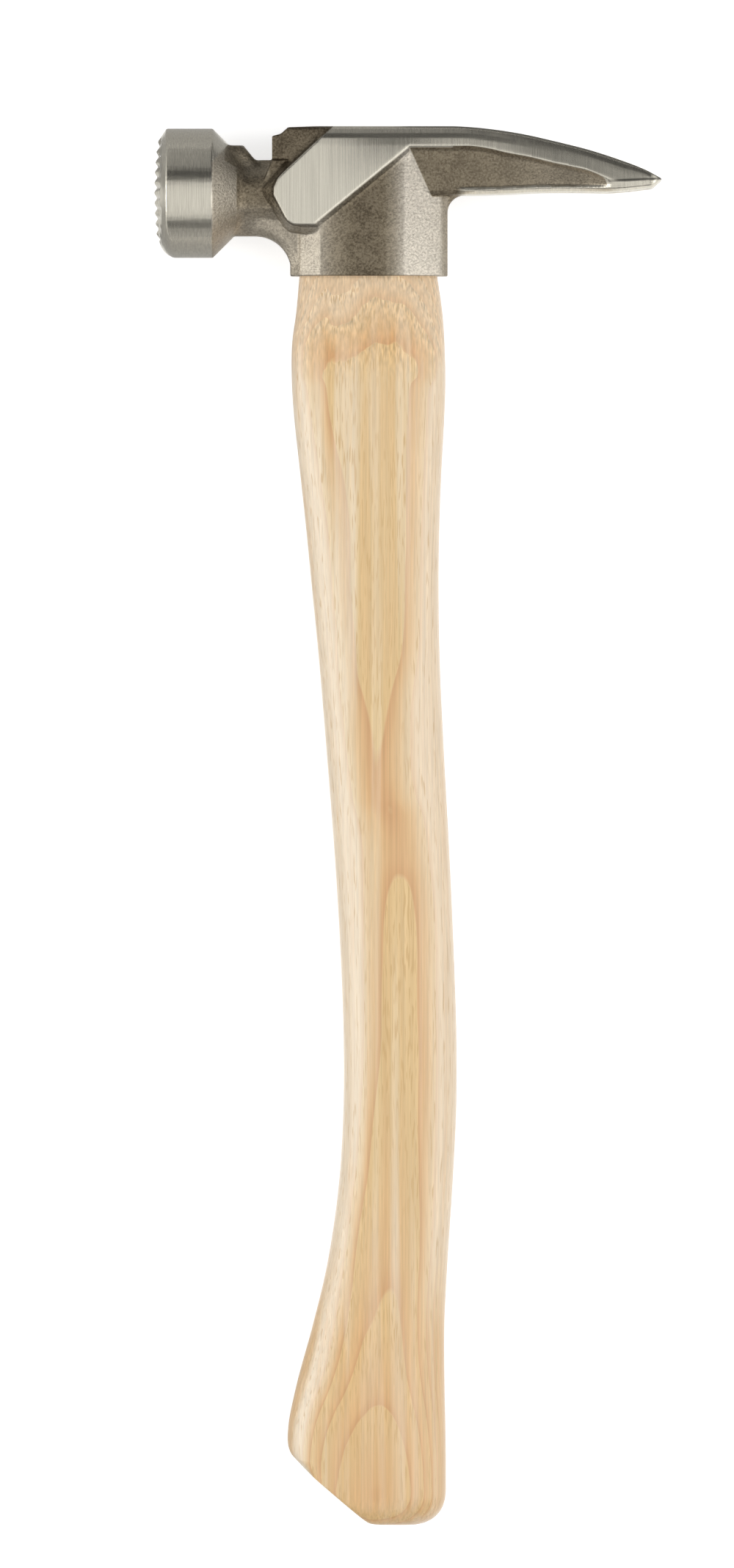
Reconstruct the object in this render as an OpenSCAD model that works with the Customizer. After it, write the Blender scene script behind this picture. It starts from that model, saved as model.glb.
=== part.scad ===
// Framing hammer: a forged head with a milled face and a straight claw, wedged on a curved hickory handle.
// The hammer lies on its side. The head runs along X with the claw towards +X, the handle runs down along -Y,
// and the poll touches the ground at Z = 0. The origin is under the middle of the whole hammer.
// Every module is drawn about the middle of the eye: X along the head, Y = 0 at the top of the head, and
// Z = 0 in the plane that cuts the hammer into two like halves. The last module lays it on the ground.

/* [Overall] */
// From the top of the head to the end of the handle
overall_length = 406; // [350:1:460]

/* [Striking face] */
// From the middle of the eye to the tips of the milled teeth
face_reach = 61.8; // [58:0.2:72]
// Diameter of the poll
poll_d = 37.8; // [34:0.2:41]
// From the top of the head down to the top of the poll
poll_drop = 0.3; // [0.1:0.1:1]
// From the tips of the teeth back to the start of the poll's cone
poll_land = 17; // [13:0.2:19]
// Radius of the crowned face
crown_r = 108; // [70:1:200]
// Length of the turned bevel round the face, along the poll
rim_bevel_l = 3.6; // [2:0.1:4.4]
// Depth of the same bevel, across the poll, if the crown were flat
rim_bevel_d = 5.3; // [3:0.1:6.5]
// Radius ground on the lower edge of the face
toe_r = 6.4; // [3:0.1:8]
// How far the ground radius runs in from the poll's lower side
toe_inset = 0.3; // [0.2:0.05:0.8]
// Spacing of the milled teeth
tooth_pitch = 2.95; // [2.2:0.05:4]
// Height of a tooth
tooth_h = 0.8; // [0.7:0.05:1.1]
// Width of the flat tip of a tooth
tooth_tip = 0.5; // [0.3:0.05:0.9]
// Valley left between two teeth
tooth_gap = 0.3; // [0.15:0.05:0.5]

/* [Neck and nail rest] */
// Width of the neck
neck_w = 20.4; // [17:0.2:22]
// Height of the neck
neck_h = 22.1; // [18:0.1:24.5]
// From the top of the head down to the top of the neck
neck_drop = 9.7; // [8.6:0.1:11.5]
// Width of the neck's flat top and bottom
neck_flat_w = 8; // [5.5:0.1:12]
// Height of the neck's upper bevels
neck_upper_bevel = 6.4; // [3.6:0.1:8]
// Height of the neck's lower bevels
neck_lower_bevel = 8; // [3.6:0.1:9.8]
// Length of the notch that takes a nail's head
notch_l = 4.9; // [4.5:0.1:6.2]
// Height of the nail rest above the neck
rest_h = 4.3; // [3.2:0.1:5.2]
// Width of the nail rest
rest_w = 12.4; // [9:0.2:16]
// Length of the flat top of the nail rest, before the poll's cone
rest_l = 4.6; // [4.2:0.1:7]
// Width of the groove for a nail's shank
groove_w = 4.6; // [4.2:0.1:5.4]
// From the top of the head down to the floor of the groove
groove_drop = 6.1; // [5.7:0.1:6.7]

/* [Eye and collar] */
// From the top of the head to the lower edge of the collar
collar_h = 43.4; // [39.5:0.2:49]
// Length of the eye at its lower end, along the head
eye_l = 40.1; // [37.5:0.1:42.5]
// Width of the eye at its lower end
eye_w = 19.2; // [17:0.1:20]
// How much wider the eye is at its top than at its waist
eye_flare = 1.1; // [0.4:0.1:1.4]
// How much narrower the eye is at its waist than at its lower end
eye_taper = 0.9; // [0.4:0.1:1.4]
// Wall in front of the eye
front_wall = 2.25; // [1.8:0.05:3.5]
// Wall behind the eye
back_wall = 3.35; // [2.2:0.05:4.4]
// Wall at each side of the eye
side_wall = 3; // [2.5:0.1:4]
// Width of the collar's flat ends
end_flat_w = 9.8; // [7.2:0.2:11.5]
// Length of the small bevels next to the collar's front end
front_edge_l = 2.9; // [1.8:0.1:4.4]
// Length of the wide bevels at the collar's front
front_bevel_l = 5.9; // [3.6:0.1:8]
// Length of the small bevels next to the collar's rear end
back_edge_l = 2.1; // [1.4:0.1:3.6]
// Length of the wide bevels at the collar's rear
back_bevel_l = 10.5; // [7.2:0.1:12.4]
// Radius of the root between neck and collar
front_root_r = 10.4; // [7.2:0.1:11.5]
// Radius of the root between claw and collar
back_root_r = 5; // [2.8:0.1:7]
// Width of both roots
root_w = 15.2; // [12.4:0.2:16.8]
// Bevel along the edges of both roots
root_bevel = 2.3; // [1:0.1:3.5]

/* [Cheek] */
// Metal between the eye and the wall that stops a nail's head
front_cheek = 7.5; // [6.2:0.05:8.9]
// Height of the polished panel above the collar's side
panel_raise = 1.1; // [0.6:0.1:1.8]
// Height of the rounded shoulder along the top of the head
shoulder_h = 5.4; // [3.6:0.1:5.7]
// Depth of the same shoulder, across the head
shoulder_w = 2.7; // [1:0.1:3.5]

/* [Claw] */
// From the middle of the eye to the tip of the claw
claw_reach = 85.5; // [75:0.5:96]
// Height of the claw at its root
claw_h = 19.9; // [17:0.1:22]
// Width across the two tips of the claw
claw_tip_w = 32; // [28.6:0.2:35.6]
// Length of the nail slot
slot_l = 46; // [36:0.5:53]
// Width of the nail slot at the tips
slot_w = 11.6; // [8:0.2:13.2]
// Width of the round root of the nail slot
slot_root_w = 1.5; // [1:0.1:2.7]
// How far the slot is ground open on the underside
slot_bevel = 1.8; // [0.5:0.1:2.7]
// Depth of the sunk side of the claw under its upper edge
recess_upper = 1.4; // [0.7:0.1:2]
// Depth of the sunk side of the claw above its lower edge
recess_lower = 3.3; // [2.1:0.1:3.9]
// Height of the rib along the claw's lower edge
rib_h = 2.2; // [1.8:0.1:3.5]
// Depth of the rib behind the polished side
rib_inset = 2.5; // [1.6:0.1:3]
// Depth of the claw's lower corners behind the polished side
foot_inset = 4.1; // [2.8:0.1:5.3]

/* [Handle] */
// Depth of the handle's shoulder under the head, front to back
shoulder_depth = 44.6; // [42:0.2:50]
// Depth of the grip
grip_depth = 32.8; // [28.5:0.1:37]
// Depth of the flared end
butt_depth = 46.4; // [41:0.2:53]
// Thickness of the shoulder
shoulder_thick = 25.2; // [22.2:0.2:28.4]
// Thickness of the grip
grip_thick = 23.4; // [20.5:0.1:26.5]
// Thickness of the flared end
butt_thick = 27.6; // [24:0.2:31]
// How far the grip sways back from a straight line
sway = 9.6; // [0:0.2:16]
// Slope of the sawn heel
heel_angle = 40.6; // [30:0.2:50]
// From the handle's front edge to the lower end of the heel's slope
heel_l = 24; // [16:0.5:28]
// Radius of the toe at the lower rear corner
toe_round = 10; // [5.5:0.5:12.5]

/* [Wedges] */
// Depth of the wood wedge in the handle
wood_wedge_h = 32; // [25:0.5:36]
// Thickness of the wood wedge at its top
wood_wedge_t = 4.1; // [2.7:0.1:4.9]
// Thickness of the wood wedge at its tip
wood_wedge_tip = 0.9; // [0.5:0.1:1.4]
// Depth of the steel wedges
steel_wedge_h = 18.5; // [13.5:0.5:22]
// Width of the steel wedges, across the eye
steel_wedge_w = 12.4; // [9:0.2:13.2]
// Thickness of the steel wedges at their top
steel_wedge_t = 2.3; // [1.6:0.1:3]
// Thickness of the steel wedges at their tip
steel_wedge_tip = 0.6; // [0.4:0.1:1.1]
// Distance between the two steel wedges
steel_wedge_spacing = 17; // [12.5:0.5:19.5]
// Number of barb rows on a steel wedge
barbs = 4; // [2:1:6]

/* [Magnet] */
// Diameter of the nail magnet
magnet_d = 3.9; // [3.2:0.1:4]
// Length of the nail magnet
magnet_h = 4.4; // [2.7:0.1:6]

/* [Fits] */
// Gap between the wood and the wall of the eye, and round each wedge
fit_gap = 0.05; // [0.02:0.01:0.1]
// How far the end grain and the wedges lie below the top of the head
top_sink = 0.3; // [0.1:0.05:0.8]

/* [Hidden] */

// How far a cutting shape runs past what it cuts
overrun = 2;
// Sides of a turned surface, and points round a lofted section
turned_fn = 96;
section_points = 32;
// Steps between two rows of the handle's table and of the claw's table
handle_steps = 3;
claw_steps = 3;

// Places along the head, from the middle of the eye
eye_end = eye_l / 2;
collar_front = -(eye_end + front_wall);
collar_back = eye_end + back_wall;
flat_front = collar_front + front_edge_l + front_bevel_l;
flat_back = collar_back - back_edge_l - back_bevel_l;
cheek_front = -(eye_end + front_cheek);
rest_foot = cheek_front - notch_l;
face_x = -face_reach;
cone_x = face_x + poll_land;
slot_x = claw_reach - slot_l;

// Heights, from the top of the head
poll_y = -poll_d / 2 - poll_drop;
neck_top = -neck_drop;
neck_bottom = neck_top - neck_h;
rest_top = neck_top + rest_h;
collar_y = -collar_h;
claw_y = -claw_h;
handle_end = -overall_length;

// Run of the slope behind the nail rest, as a share of its height
rest_run_share = 0.8;
rest_run = rest_h * rest_run_share;

// Half widths, from the plane that halves the hammer
poll_r = poll_d / 2;
flat_half = eye_w / 2 + side_wall;
panel_half = flat_half + panel_raise;
neck_half = neck_w / 2;
// The cheek in front of the panel stands out by this share of the way from the neck's side to the panel
cheek_out_share = 0.6;
cheek_half = neck_half + (panel_half - neck_half) * cheek_out_share;
tip_half = claw_tip_w / 2;
end_half = end_flat_w / 2;
girth_half = max(poll_r, panel_half, tip_half, butt_thick / 2);

// Share of a bevel's width that the collar's small bevels take up
edge_share = 0.45;
// Place of the eye's waist, as a share of collar_h
waist_share = 0.55;
// Height of the tooth's part that is sunk in the crown, as a share of tooth_h
tooth_sink_share = 0.6;
// How far the teeth run out over the rim's bevel, as a share of its depth
teeth_out_share = 0.36;
// Axis of the toe's ground radius above the poll's axis, and its end behind the face, as shares of toe_r
toe_lift_share = 0.36;
toe_back_share = 1.2;
// Upper front corner of the cheek: its size as a share of rest_h, and two points on it as shares of that size
corner_share = 0.6;
corner_drop_share = 0.85;
corner_run_share = 1.8;
// Part of the block above the front root that lies in the neck, as a share of neck_lower_bevel
root_sunk_share = 0.75;
// Most of the band's height that the rounded shoulder takes up, and most of the sunk side that the rib does
shoulder_fit_share = 0.94;
rib_fit_share = 0.6;
// Height of the rib's edge, as a share of the rib's height
rib_edge_share = 0.6;
// Drop of the sunk side under the band's edge, as shares of recess_upper and of the side's height
ledge_drop_share = 0.4;
ledge_side_share = 0.05;
// Shares of rib_inset and foot_inset that are left where the claw's side is no longer sunk
rib_left_share = 0.1;
foot_left_share = 0.4;
// Top of the slot's bevel, as a share of claw_h, and its width there, as a share of the slot's width
slot_bevel_share = 0.78;
slot_fit_share = 0.98;

// Corners of the polished panel, as shares of eye_l along the head and of collar_h down from its top
panel_face_shares = [
    [-0.24, 0], [-0.634, 0.342], [-0.665, 0.406], [-0.667, 0.465], [-0.574, 0.627],
    [-0.532, 0.652], [-0.388, 0.652], [0.282, 0.131], [0.304, 0.131], [0.304, 0],
];
// Corners of the foot of the panel's sloping edge, as the same shares
panel_foot_shares = [
    [-0.366, 0], [-0.672, 0.318], [-0.772, 0.418], [-0.754, 0.463], [-0.599, 0.672],
    [-0.563, 0.7], [-0.26, 0.75], [0.304, 0.29], [0.304, 0],
];
// Lower corners of the cheek's block, as the same shares, from the panel's foot round to the neck
cheek_block_shares = [
    [0.304, 0.29], [-0.26, 0.75], [-0.563, 0.7], [-0.599, 0.672], [-0.754, 0.463], [-0.772, 0.418],
];
// Line under which the collar shows, as the same shares
collar_top_shares = [[-0.62, 0.69], [-0.388, 0.66], [0.282, 0.09], [0.7, 0.09]];

// The claw from root to tip, one row a section:
// place along claw_reach; upper edge, lower edge of the polished band and underside as shares of claw_h;
// and how far the flare, the sunk side and the lower rib have grown, as shares of their full size
claw_shares = [
    [0.083, 0, 0.29, 1, 0, 1, 0],
    [0.2, 0, 0.29, 1, 0, 1, 0],
    [0.29, 0, 0.29, 1, 0, 1, 0],
    [0.35, 0.013, 0.29, 1, 0.02, 1, 1],
    [0.41, 0.038, 0.325, 0.995, 0.1, 1, 1],
    [0.475, 0.076, 0.39, 0.985, 0.25, 1, 1],
    [0.55, 0.134, 0.45, 0.968, 0.42, 1, 1],
    [0.625, 0.208, 0.53, 0.96, 0.58, 1, 1],
    [0.7, 0.286, 0.598, 0.96, 0.75, 1, 1],
    [0.75, 0.342, 0.65, 0.962, 0.85, 0.85, 1],
    [0.8, 0.408, 0.74, 0.966, 0.93, 0.45, 1],
    [0.83, 0.45, 0.79, 0.964, 0.97, 0.1, 1],
    [0.87, 0.51, 0.81, 0.95, 1, 0, 1],
    [0.91, 0.574, 0.8, 0.933, 1, 0, 1],
    [0.95, 0.648, 0.79, 0.91, 0.95, 0, 1],
    [0.97, 0.695, 0.782, 0.895, 0.8, 0, 1],
    [0.99, 0.742, 0.767, 0.82, 0.35, 0, 1],
    [1, 0.766, 0.774, 0.788, -0.1, 0, 1],
];

// The handle from collar to butt, one row a section:
// place along the part below the collar; sway; how much of the tenon's, the shoulder's, the grip's and the
// butt's size the section takes, which add up to one; and how square its corners are
handle_shares = [
    [0, 0, 1, 0, 0, 0, 2.6],
    [0.028, 0.03, 0.48, 0.52, 0, 0, 3.1],
    [0.055, 0.04, 0.06, 0.94, 0, 0, 3.5],
    [0.085, 0.05, 0, 1, 0, 0, 3.6],
    [0.115, 0.07, 0, 0.91, 0.09, 0, 3.5],
    [0.155, 0.11, 0, 0.71, 0.29, 0, 3.3],
    [0.2, 0.17, 0, 0.51, 0.49, 0, 3.1],
    [0.25, 0.25, 0, 0.34, 0.66, 0, 2.9],
    [0.31, 0.38, 0, 0.19, 0.81, 0, 2.75],
    [0.38, 0.55, 0, 0.11, 0.89, 0, 2.6],
    [0.46, 0.75, 0, 0.05, 0.95, 0, 2.6],
    [0.54, 0.91, 0, 0.01, 0.99, 0, 2.6],
    [0.61, 1, 0, 0, 1, 0, 2.6],
    [0.67, 0.99, 0, 0, 1, 0, 2.6],
    [0.73, 0.86, 0, 0, 0.98, 0.02, 2.6],
    [0.79, 0.62, 0, 0, 0.85, 0.15, 2.65],
    [0.84, 0.35, 0, 0, 0.6, 0.4, 2.7],
    [0.885, 0.12, 0, 0, 0.27, 0.73, 2.8],
    [0.925, -0.02, 0, 0, 0.03, 0.97, 2.9],
    [0.95, -0.03, 0, 0, 0, 1, 3],
];

// Rounding of the toe: how far each row lies above the end, and how far its edge has drawn in, as shares of
// the rounding's radius
toe_shares = [[1, 0], [0.72, 0.03], [0.45, 0.13], [0.22, 0.32], [0.07, 0.58], [0, 0.85]];
// How far the sides draw in at the toe, as a share of what its rear edge does
toe_side_share = 0.4;

// Helpers
function signed_power(v, p) = sign(v) * pow(abs(v), p);

// An oval of the given length and width. A larger square gives it fuller corners
function oval(l, w, square) = [
    for (i = [0:section_points - 1]) let (a = 360 * i / section_points)
        [l / 2 * signed_power(cos(a), 2 / square), w / 2 * signed_power(sin(a), 2 / square)]
];

// A curve through rows b and c of a table, at t from 0 to 1, with rows a and d beside them
function between(a, b, c, d, t) =
    (2 * b + (c - a) * t + (2 * a - 5 * b + 4 * c - d) * t * t + (3 * b - a - 3 * c + d) * t * t * t) / 2;

// A table with smooth rows filled in between its own
function filled(rows, steps) = [
    for (i = [0:len(rows) - 2], k = [0:steps - 1])
        between(rows[max(i - 1, 0)], rows[i], rows[i + 1], rows[min(i + 2, len(rows) - 1)], k / steps),
    rows[len(rows) - 1],
];

// Corners given as shares of the eye's length and the collar's height
function cheek_points(shares) = [for (p = shares) [p[0] * eye_l, -p[1] * collar_h]];

// A closed solid through rings of points, all with the same count
module loft(rings) {
    n = len(rings[0]);
    last = len(rings) - 1;
    polyhedron(
        [for (ring = rings) each ring],
        [
            [for (j = [0:n - 1]) j],
            for (i = [0:last - 1], j = [0:n - 1]) let (k = (j + 1) % n)
                each [[i * n + j, (i + 1) * n + j, (i + 1) * n + k], [i * n + j, (i + 1) * n + k, i * n + k]],
            [for (j = [n - 1:-1:0]) last * n + j],
        ]
    );
}

// A side outline, X and Y, made solid to the same half width on both sides
module plate(half) {
    translate([0, 0, -half]) linear_extrude(2 * half) children();
}

// A cross section, Y and Z, carried along the head
module along_head(from, to) {
    translate([from, 0, 0]) rotate([90, 0, 90]) linear_extrude(to - from) children();
}

// A plan outline, X and Z, carried down along the handle
module along_handle(from, to) {
    translate([0, from, 0]) rotate([90, 0, 0]) linear_extrude(from - to) children();
}

// A turned shape about the poll's axis, from a profile of radius and distance behind the face
module turned_poll() {
    translate([face_x, poll_y, 0]) rotate([0, 90, 0]) rotate_extrude($fn = turned_fn) children();
}

// Striking face
// How far the crown falls away at a distance from the poll's axis
function crown_fall(y, z) = crown_r - sqrt(crown_r * crown_r - y * y - z * z);

// One milled tooth: a square pyramid with a flat tip, its foot sunk in the crown
module tooth() {
    foot = tooth_pitch / 2 - tooth_gap / 2;
    tip = tooth_tip / 2;
    sink = tooth_h * tooth_sink_share;
    spread = foot + (foot - tip) * sink / tooth_h;
    side = [[sink, -spread], [sink, spread], [-tooth_h, tip], [-tooth_h, -tip]];
    intersection() {
        plate(spread) polygon(side);
        rotate([90, 0, 0]) plate(spread) polygon(side);
    }
}

module poll() {
    poll_back = rest_foot - face_x;
    cone_r = poll_r - (poll_back - poll_land);
    face_r = poll_r - rim_bevel_d;
    // The ground radius is turned about an axis above the poll's own, so it bites only below
    toe_shift = toe_r * toe_lift_share;
    toe_shell = poll_r + toe_shift + toe_inset;
    toe_back = toe_r * toe_back_share;
    teeth_r = face_r + rim_bevel_d * teeth_out_share;
    rows = floor(teeth_r / tooth_pitch);
    intersection() {
        turned_poll() polygon([
            [0, 0], [face_r, 0], [poll_r, rim_bevel_l], [poll_r, poll_land],
            [max(cone_r, neck_half / 2), poll_back], [0, poll_back],
        ]);
        translate([0, toe_shift, 0]) turned_poll() {
            square([toe_shell - toe_r, poll_back + overrun]);
            translate([0, toe_back]) square([toe_shell, poll_back + overrun - toe_back]);
            translate([toe_shell - toe_r, toe_back]) circle(toe_r, $fn = turned_fn);
        }
        union() {
            intersection() {
                translate([face_x + tooth_h + crown_r, poll_y, 0]) sphere(crown_r, $fn = turned_fn);
                translate([face_x, poll_y, 0]) rotate([0, 90, 0])
                    cylinder(poll_back + overrun, poll_d, poll_d, $fn = turned_fn);
            }
            for (i = [-rows:rows], j = [-rows:rows]) {
                y = i * tooth_pitch;
                z = j * tooth_pitch;
                if (sqrt(y * y + z * z) < teeth_r)
                    translate([face_x + tooth_h + crown_fall(y, z), poll_y + y, z]) tooth();
            }
        }
    }
}

// Neck and nail rest
module neck() {
    top_half = neck_flat_w / 2;
    along_head(cone_x, -eye_end) polygon([
        [neck_top, top_half], [neck_top - neck_upper_bevel, neck_half],
        [neck_bottom + neck_lower_bevel, neck_half], [neck_bottom, top_half],
        [neck_bottom, -top_half], [neck_bottom + neck_lower_bevel, -neck_half],
        [neck_top - neck_upper_bevel, -neck_half], [neck_top, -top_half],
    ]);
    // The rest's rear slope runs on down until the neck's bevel takes it in
    rest_low = neck_top - neck_upper_bevel;
    plate(rest_w / 2) polygon([
        [cone_x, rest_top], [rest_foot - rest_run, rest_top],
        [rest_foot + rest_run * neck_upper_bevel / rest_h, rest_low], [cone_x, rest_low],
    ]);
}

// A round root between two faces, with bevelled edges: a block less a spool
module root(x, y, r, size_x, size_y, half, bevel) {
    difference() {
        plate(half) translate([min(x, x + size_x), min(y, y + size_y)]) square([abs(size_x), abs(size_y)]);
        translate([x, y, 0]) rotate_extrude($fn = turned_fn) polygon([
            [0, -half - overrun], [r + bevel + overrun, -half - overrun], [r, -half + bevel],
            [r, half - bevel], [r + bevel + overrun, half + overrun], [0, half + overrun],
        ]);
    }
}

// Eye and collar
// Rings down the eye: wide at both ends and narrow at its waist, drawn in by a gap, with ends pushed past
function eye_rings(gap, past) = [
    for (r = [[past, eye_flare - eye_taper], [collar_y * waist_share, -eye_taper], [collar_y - past, 0]])
        let (wider = r[1] - 2 * gap)
            [for (p = oval(eye_l + wider, eye_w + wider, handle_shares[0][6])) [p[0], r[0], p[1]]]
];

module collar() {
    edge_half = end_half + (flat_half - end_half) * edge_share;
    right = [
        [collar_front, end_half], [collar_front + front_edge_l, edge_half], [flat_front, flat_half],
        [flat_back, flat_half], [flat_back + back_bevel_l, edge_half], [collar_back, end_half],
    ];
    left = [for (i = [len(right) - 1:-1:0]) [right[i][0], -right[i][1]]];
    intersection() {
        along_handle(0, collar_y) polygon(concat(right, left));
        plate(flat_half + overrun) polygon(concat(
            cheek_points(collar_top_shares),
            [[collar_back + overrun, collar_y - overrun], [collar_front - overrun, collar_y - overrun]]
        ));
    }
}

// Cheek
// Half section of the rounded shoulder, from the top outwards, as shares of its width and height
shoulder_shares = [[1, 0], [0.7, 0.05], [0.45, 0.165], [0.23, 0.36], [0.07, 0.63], [0, 1]];

module cheek() {
    corner = rest_h * corner_share;
    front = [
        [cheek_front, neck_top], [cheek_front, -corner - poll_drop],
        [cheek_front + corner, -corner * corner_drop_share],
        [cheek_front + corner * corner_run_share, -poll_drop],
        cheek_points(panel_foot_shares)[0],
    ];
    plate(neck_half) polygon(concat(front, [[flat_back, 0]], cheek_points(cheek_block_shares)));
    plate(cheek_half) polygon(concat(front, [cheek_points(panel_face_shares)[0], [-eye_end / 2, neck_top]]));
    hull() {
        plate(panel_half) polygon(cheek_points(panel_face_shares));
        plate(neck_half) polygon(cheek_points(panel_foot_shares));
    }
}

// What the rounded shoulders leave of the cheek
module shouldered() {
    right = [for (p = shoulder_shares) [-p[1] * shoulder_h, panel_half - p[0] * shoulder_w]];
    left = [for (i = [len(right) - 1:-1:0]) [right[i][0], -right[i][1]]];
    intersection() {
        along_head(cheek_front - front_cheek, collar_back)
            polygon(concat(right, [[collar_y, panel_half], [collar_y, -panel_half]], left));
        children();
    }
}

// Claw
// The ring of points of one section, from a row of the claw's table
function claw_ring(row) = let (
    x = row[0] * claw_reach,
    top = -max(row[1], 0) * claw_h,
    edge = -row[2] * claw_h,
    foot = -row[3] * claw_h,
    half = panel_half + (tip_half - panel_half) * row[4],
    sunk = row[5],
    rib = row[6],
    round_h = min(shoulder_h, shoulder_fit_share * (top - edge)),
    round_w = shoulder_w * round_h / shoulder_h,
    rib_up = min(rib_h, rib_fit_share * (edge - foot)),
    ledge = edge - ledge_drop_share * recess_upper * sunk - ledge_side_share * (edge - foot),
    floor_half = half - recess_lower * sunk - rib_inset * rib_left_share * (1 - sunk),
    rib_out = half - rib_inset * (rib_left_share + (1 - rib_left_share) * sunk),
    rib_half = floor_half + (rib_out - floor_half) * rib,
    foot_half = half - foot_inset * (foot_left_share + (1 - foot_left_share) * sunk),
    right = concat(
        [for (p = shoulder_shares) [half - p[0] * round_w, top - p[1] * round_h]],
        [
            [half, edge], [half - recess_upper * sunk, ledge], [floor_half, foot + rib_up],
            [rib_half, foot + rib_up * rib_edge_share], [foot_half, foot],
        ]
    )
) concat(
    [for (p = right) [x, p[1], p[0]]],
    [for (i = [len(right) - 1:-1:0]) [x, right[i][1], -right[i][0]]]
);

module nail_slot() {
    reach = claw_reach + overrun;
    grow = slot_w / 2 + (slot_w - slot_root_w) / 2 * overrun / slot_l;
    mid = -claw_h * slot_bevel_share;
    along_handle(overrun, claw_y - overrun) polygon([
        [slot_x, -slot_root_w / 2], [slot_x, slot_root_w / 2], [reach, grow], [reach, -grow],
    ]);
    translate([slot_x, 0, 0]) rotate([90, 0, 0])
        cylinder(claw_h + overrun, slot_root_w / 2, slot_root_w / 2, $fn = turned_fn / 3);
    inner = grow * slot_fit_share;
    outer = slot_root_w / 2 + slot_bevel;
    hull() {
        along_handle(mid, mid - overrun / 10) polygon([
            [slot_x, -slot_root_w / 4], [slot_x, slot_root_w / 4], [reach, inner], [reach, -inner],
        ]);
        along_handle(claw_y, claw_y - overrun) polygon([
            [slot_x - slot_bevel, -outer], [slot_x - slot_bevel, outer],
            [reach, grow + slot_bevel], [reach, -grow - slot_bevel],
        ]);
    }
}

// The whole head
module head_forging() {
    poll();
    neck();
    front_root_y = neck_bottom - front_root_r;
    root(rest_foot, front_root_y, front_root_r, collar_front + front_edge_l - rest_foot,
        front_root_r + neck_lower_bevel * root_sunk_share, root_w / 2, root_bevel);
    shouldered() cheek();
    collar();
    root(collar_back + back_root_r, claw_y - back_root_r, back_root_r, -back_root_r - back_edge_l,
        back_root_r + rib_h, end_half + root_bevel / 2, root_bevel / 2);
    loft([for (row = filled(claw_shares, claw_steps)) claw_ring(row)]);
}

module head() {
    color("#8f897c") difference() {
        head_forging();
        loft(eye_rings(0, overrun));
        nail_slot();
        // Groove for the nail's shank, and the magnet's seat in its floor
        along_head(face_x - overrun, rest_foot + overrun)
            translate([-groove_drop, -groove_w / 2]) square([groove_drop + overrun, groove_w]);
        seat_r = magnet_d / 2 + fit_gap;
        translate([magnet_x(), -groove_drop + overrun, 0]) rotate([90, 0, 0])
            cylinder(magnet_h + 2 * fit_gap + overrun, seat_r, seat_r, $fn = turned_fn / 2);
    }
}

// Handle
// The four sizes that the handle's table mixes, front to back and across
handle_depths = [eye_l - 2 * fit_gap, shoulder_depth, grip_depth, butt_depth];
handle_thicks = [eye_w - 2 * fit_gap, shoulder_thick, grip_thick, butt_thick];

function handle_ring(row) = let (
    y = collar_y + row[0] * (handle_end - collar_y),
    shares = [row[2], row[3], row[4], row[5]]
) [for (p = oval(handle_depths * shares, handle_thicks * shares, row[6])) [row[1] * sway + p[0], y, p[1]]];

// The rounded end: rows like the last of the table, drawn in towards the front edge and the middle
function toe_ring(share) = let (
    row = handle_shares[len(handle_shares) - 1],
    inset = share[1] * toe_round
) [
    for (p = oval(butt_depth - inset, butt_thick - 2 * inset * toe_side_share, row[6]))
        [row[1] * sway + p[0] - inset / 2, handle_end + share[0] * toe_round, p[1]]
];

module handle_blank() {
    eye = eye_rings(fit_gap, 0);
    loft(concat(
        [[for (p = eye[0]) [p[0], -top_sink, p[2]]], eye[1]],
        [for (row = filled(handle_shares, handle_steps)) handle_ring(row)],
        [for (share = toe_shares) toe_ring(share)]
    ));
}

// Half space under the heel's slope, which starts at its lower end and rises to the front
module heel_cut() {
    reach = 2 * butt_depth;
    row = handle_shares[len(handle_shares) - 1];
    translate([row[1] * sway - butt_depth / 2 + heel_l, handle_end, 0]) rotate([0, 0, 180 - heel_angle])
        translate([-reach, 0, -butt_thick]) cube([2 * reach, reach, 2 * butt_thick]);
}

module handle() {
    color("#dfbd8d") difference() {
        handle_blank();
        heel_cut();
        wood_wedge_shape(fit_gap);
        for (side = [-1, 1]) steel_wedge_seat(side);
    }
}

// Wedges
// The wood wedge before it is trimmed to the eye, grown by a gap
module wood_wedge_shape(gap) {
    along_head(-eye_l, eye_l) polygon([
        [overrun, wood_wedge_t / 2 + gap], [overrun, -wood_wedge_t / 2 - gap],
        [-wood_wedge_h - gap, -wood_wedge_tip / 2 - gap], [-wood_wedge_h - gap, wood_wedge_tip / 2 + gap],
    ]);
}

// Seat of a steel wedge in the wood
module steel_wedge_seat(side) {
    plate(steel_wedge_w / 2 + fit_gap) translate([side * steel_wedge_spacing / 2, 0]) polygon([
        [-steel_wedge_t / 2 - fit_gap, overrun], [steel_wedge_t / 2 + fit_gap, overrun],
        [steel_wedge_t / 2 + fit_gap, -top_sink], [steel_wedge_tip / 2 + fit_gap, -steel_wedge_h - fit_gap],
        [-steel_wedge_tip / 2 - fit_gap, -steel_wedge_h - fit_gap], [-steel_wedge_t / 2 - fit_gap, -top_sink],
    ]);
}

// A steel wedge: it thins to its tip, with rows of barbs that point up
module steel_wedge(side) {
    run = steel_wedge_h - top_sink;
    right = [
        for (i = [0:barbs - 1]) let (
            half = (steel_wedge_t + (steel_wedge_tip - steel_wedge_t) * i / barbs) / 2,
            next = (steel_wedge_t + (steel_wedge_tip - steel_wedge_t) * (i + 1) / barbs) / 2,
            y = -top_sink - run * i / barbs
        ) each [[half, y], [next - steel_wedge_tip / 4, y - run / barbs]]
    ];
    left = [for (i = [len(right) - 1:-1:0]) [-right[i][0], right[i][1]]];
    color("#6d6a66") plate(steel_wedge_w / 2) translate([side * steel_wedge_spacing / 2, 0])
        polygon(concat(right, left));
}

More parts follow.
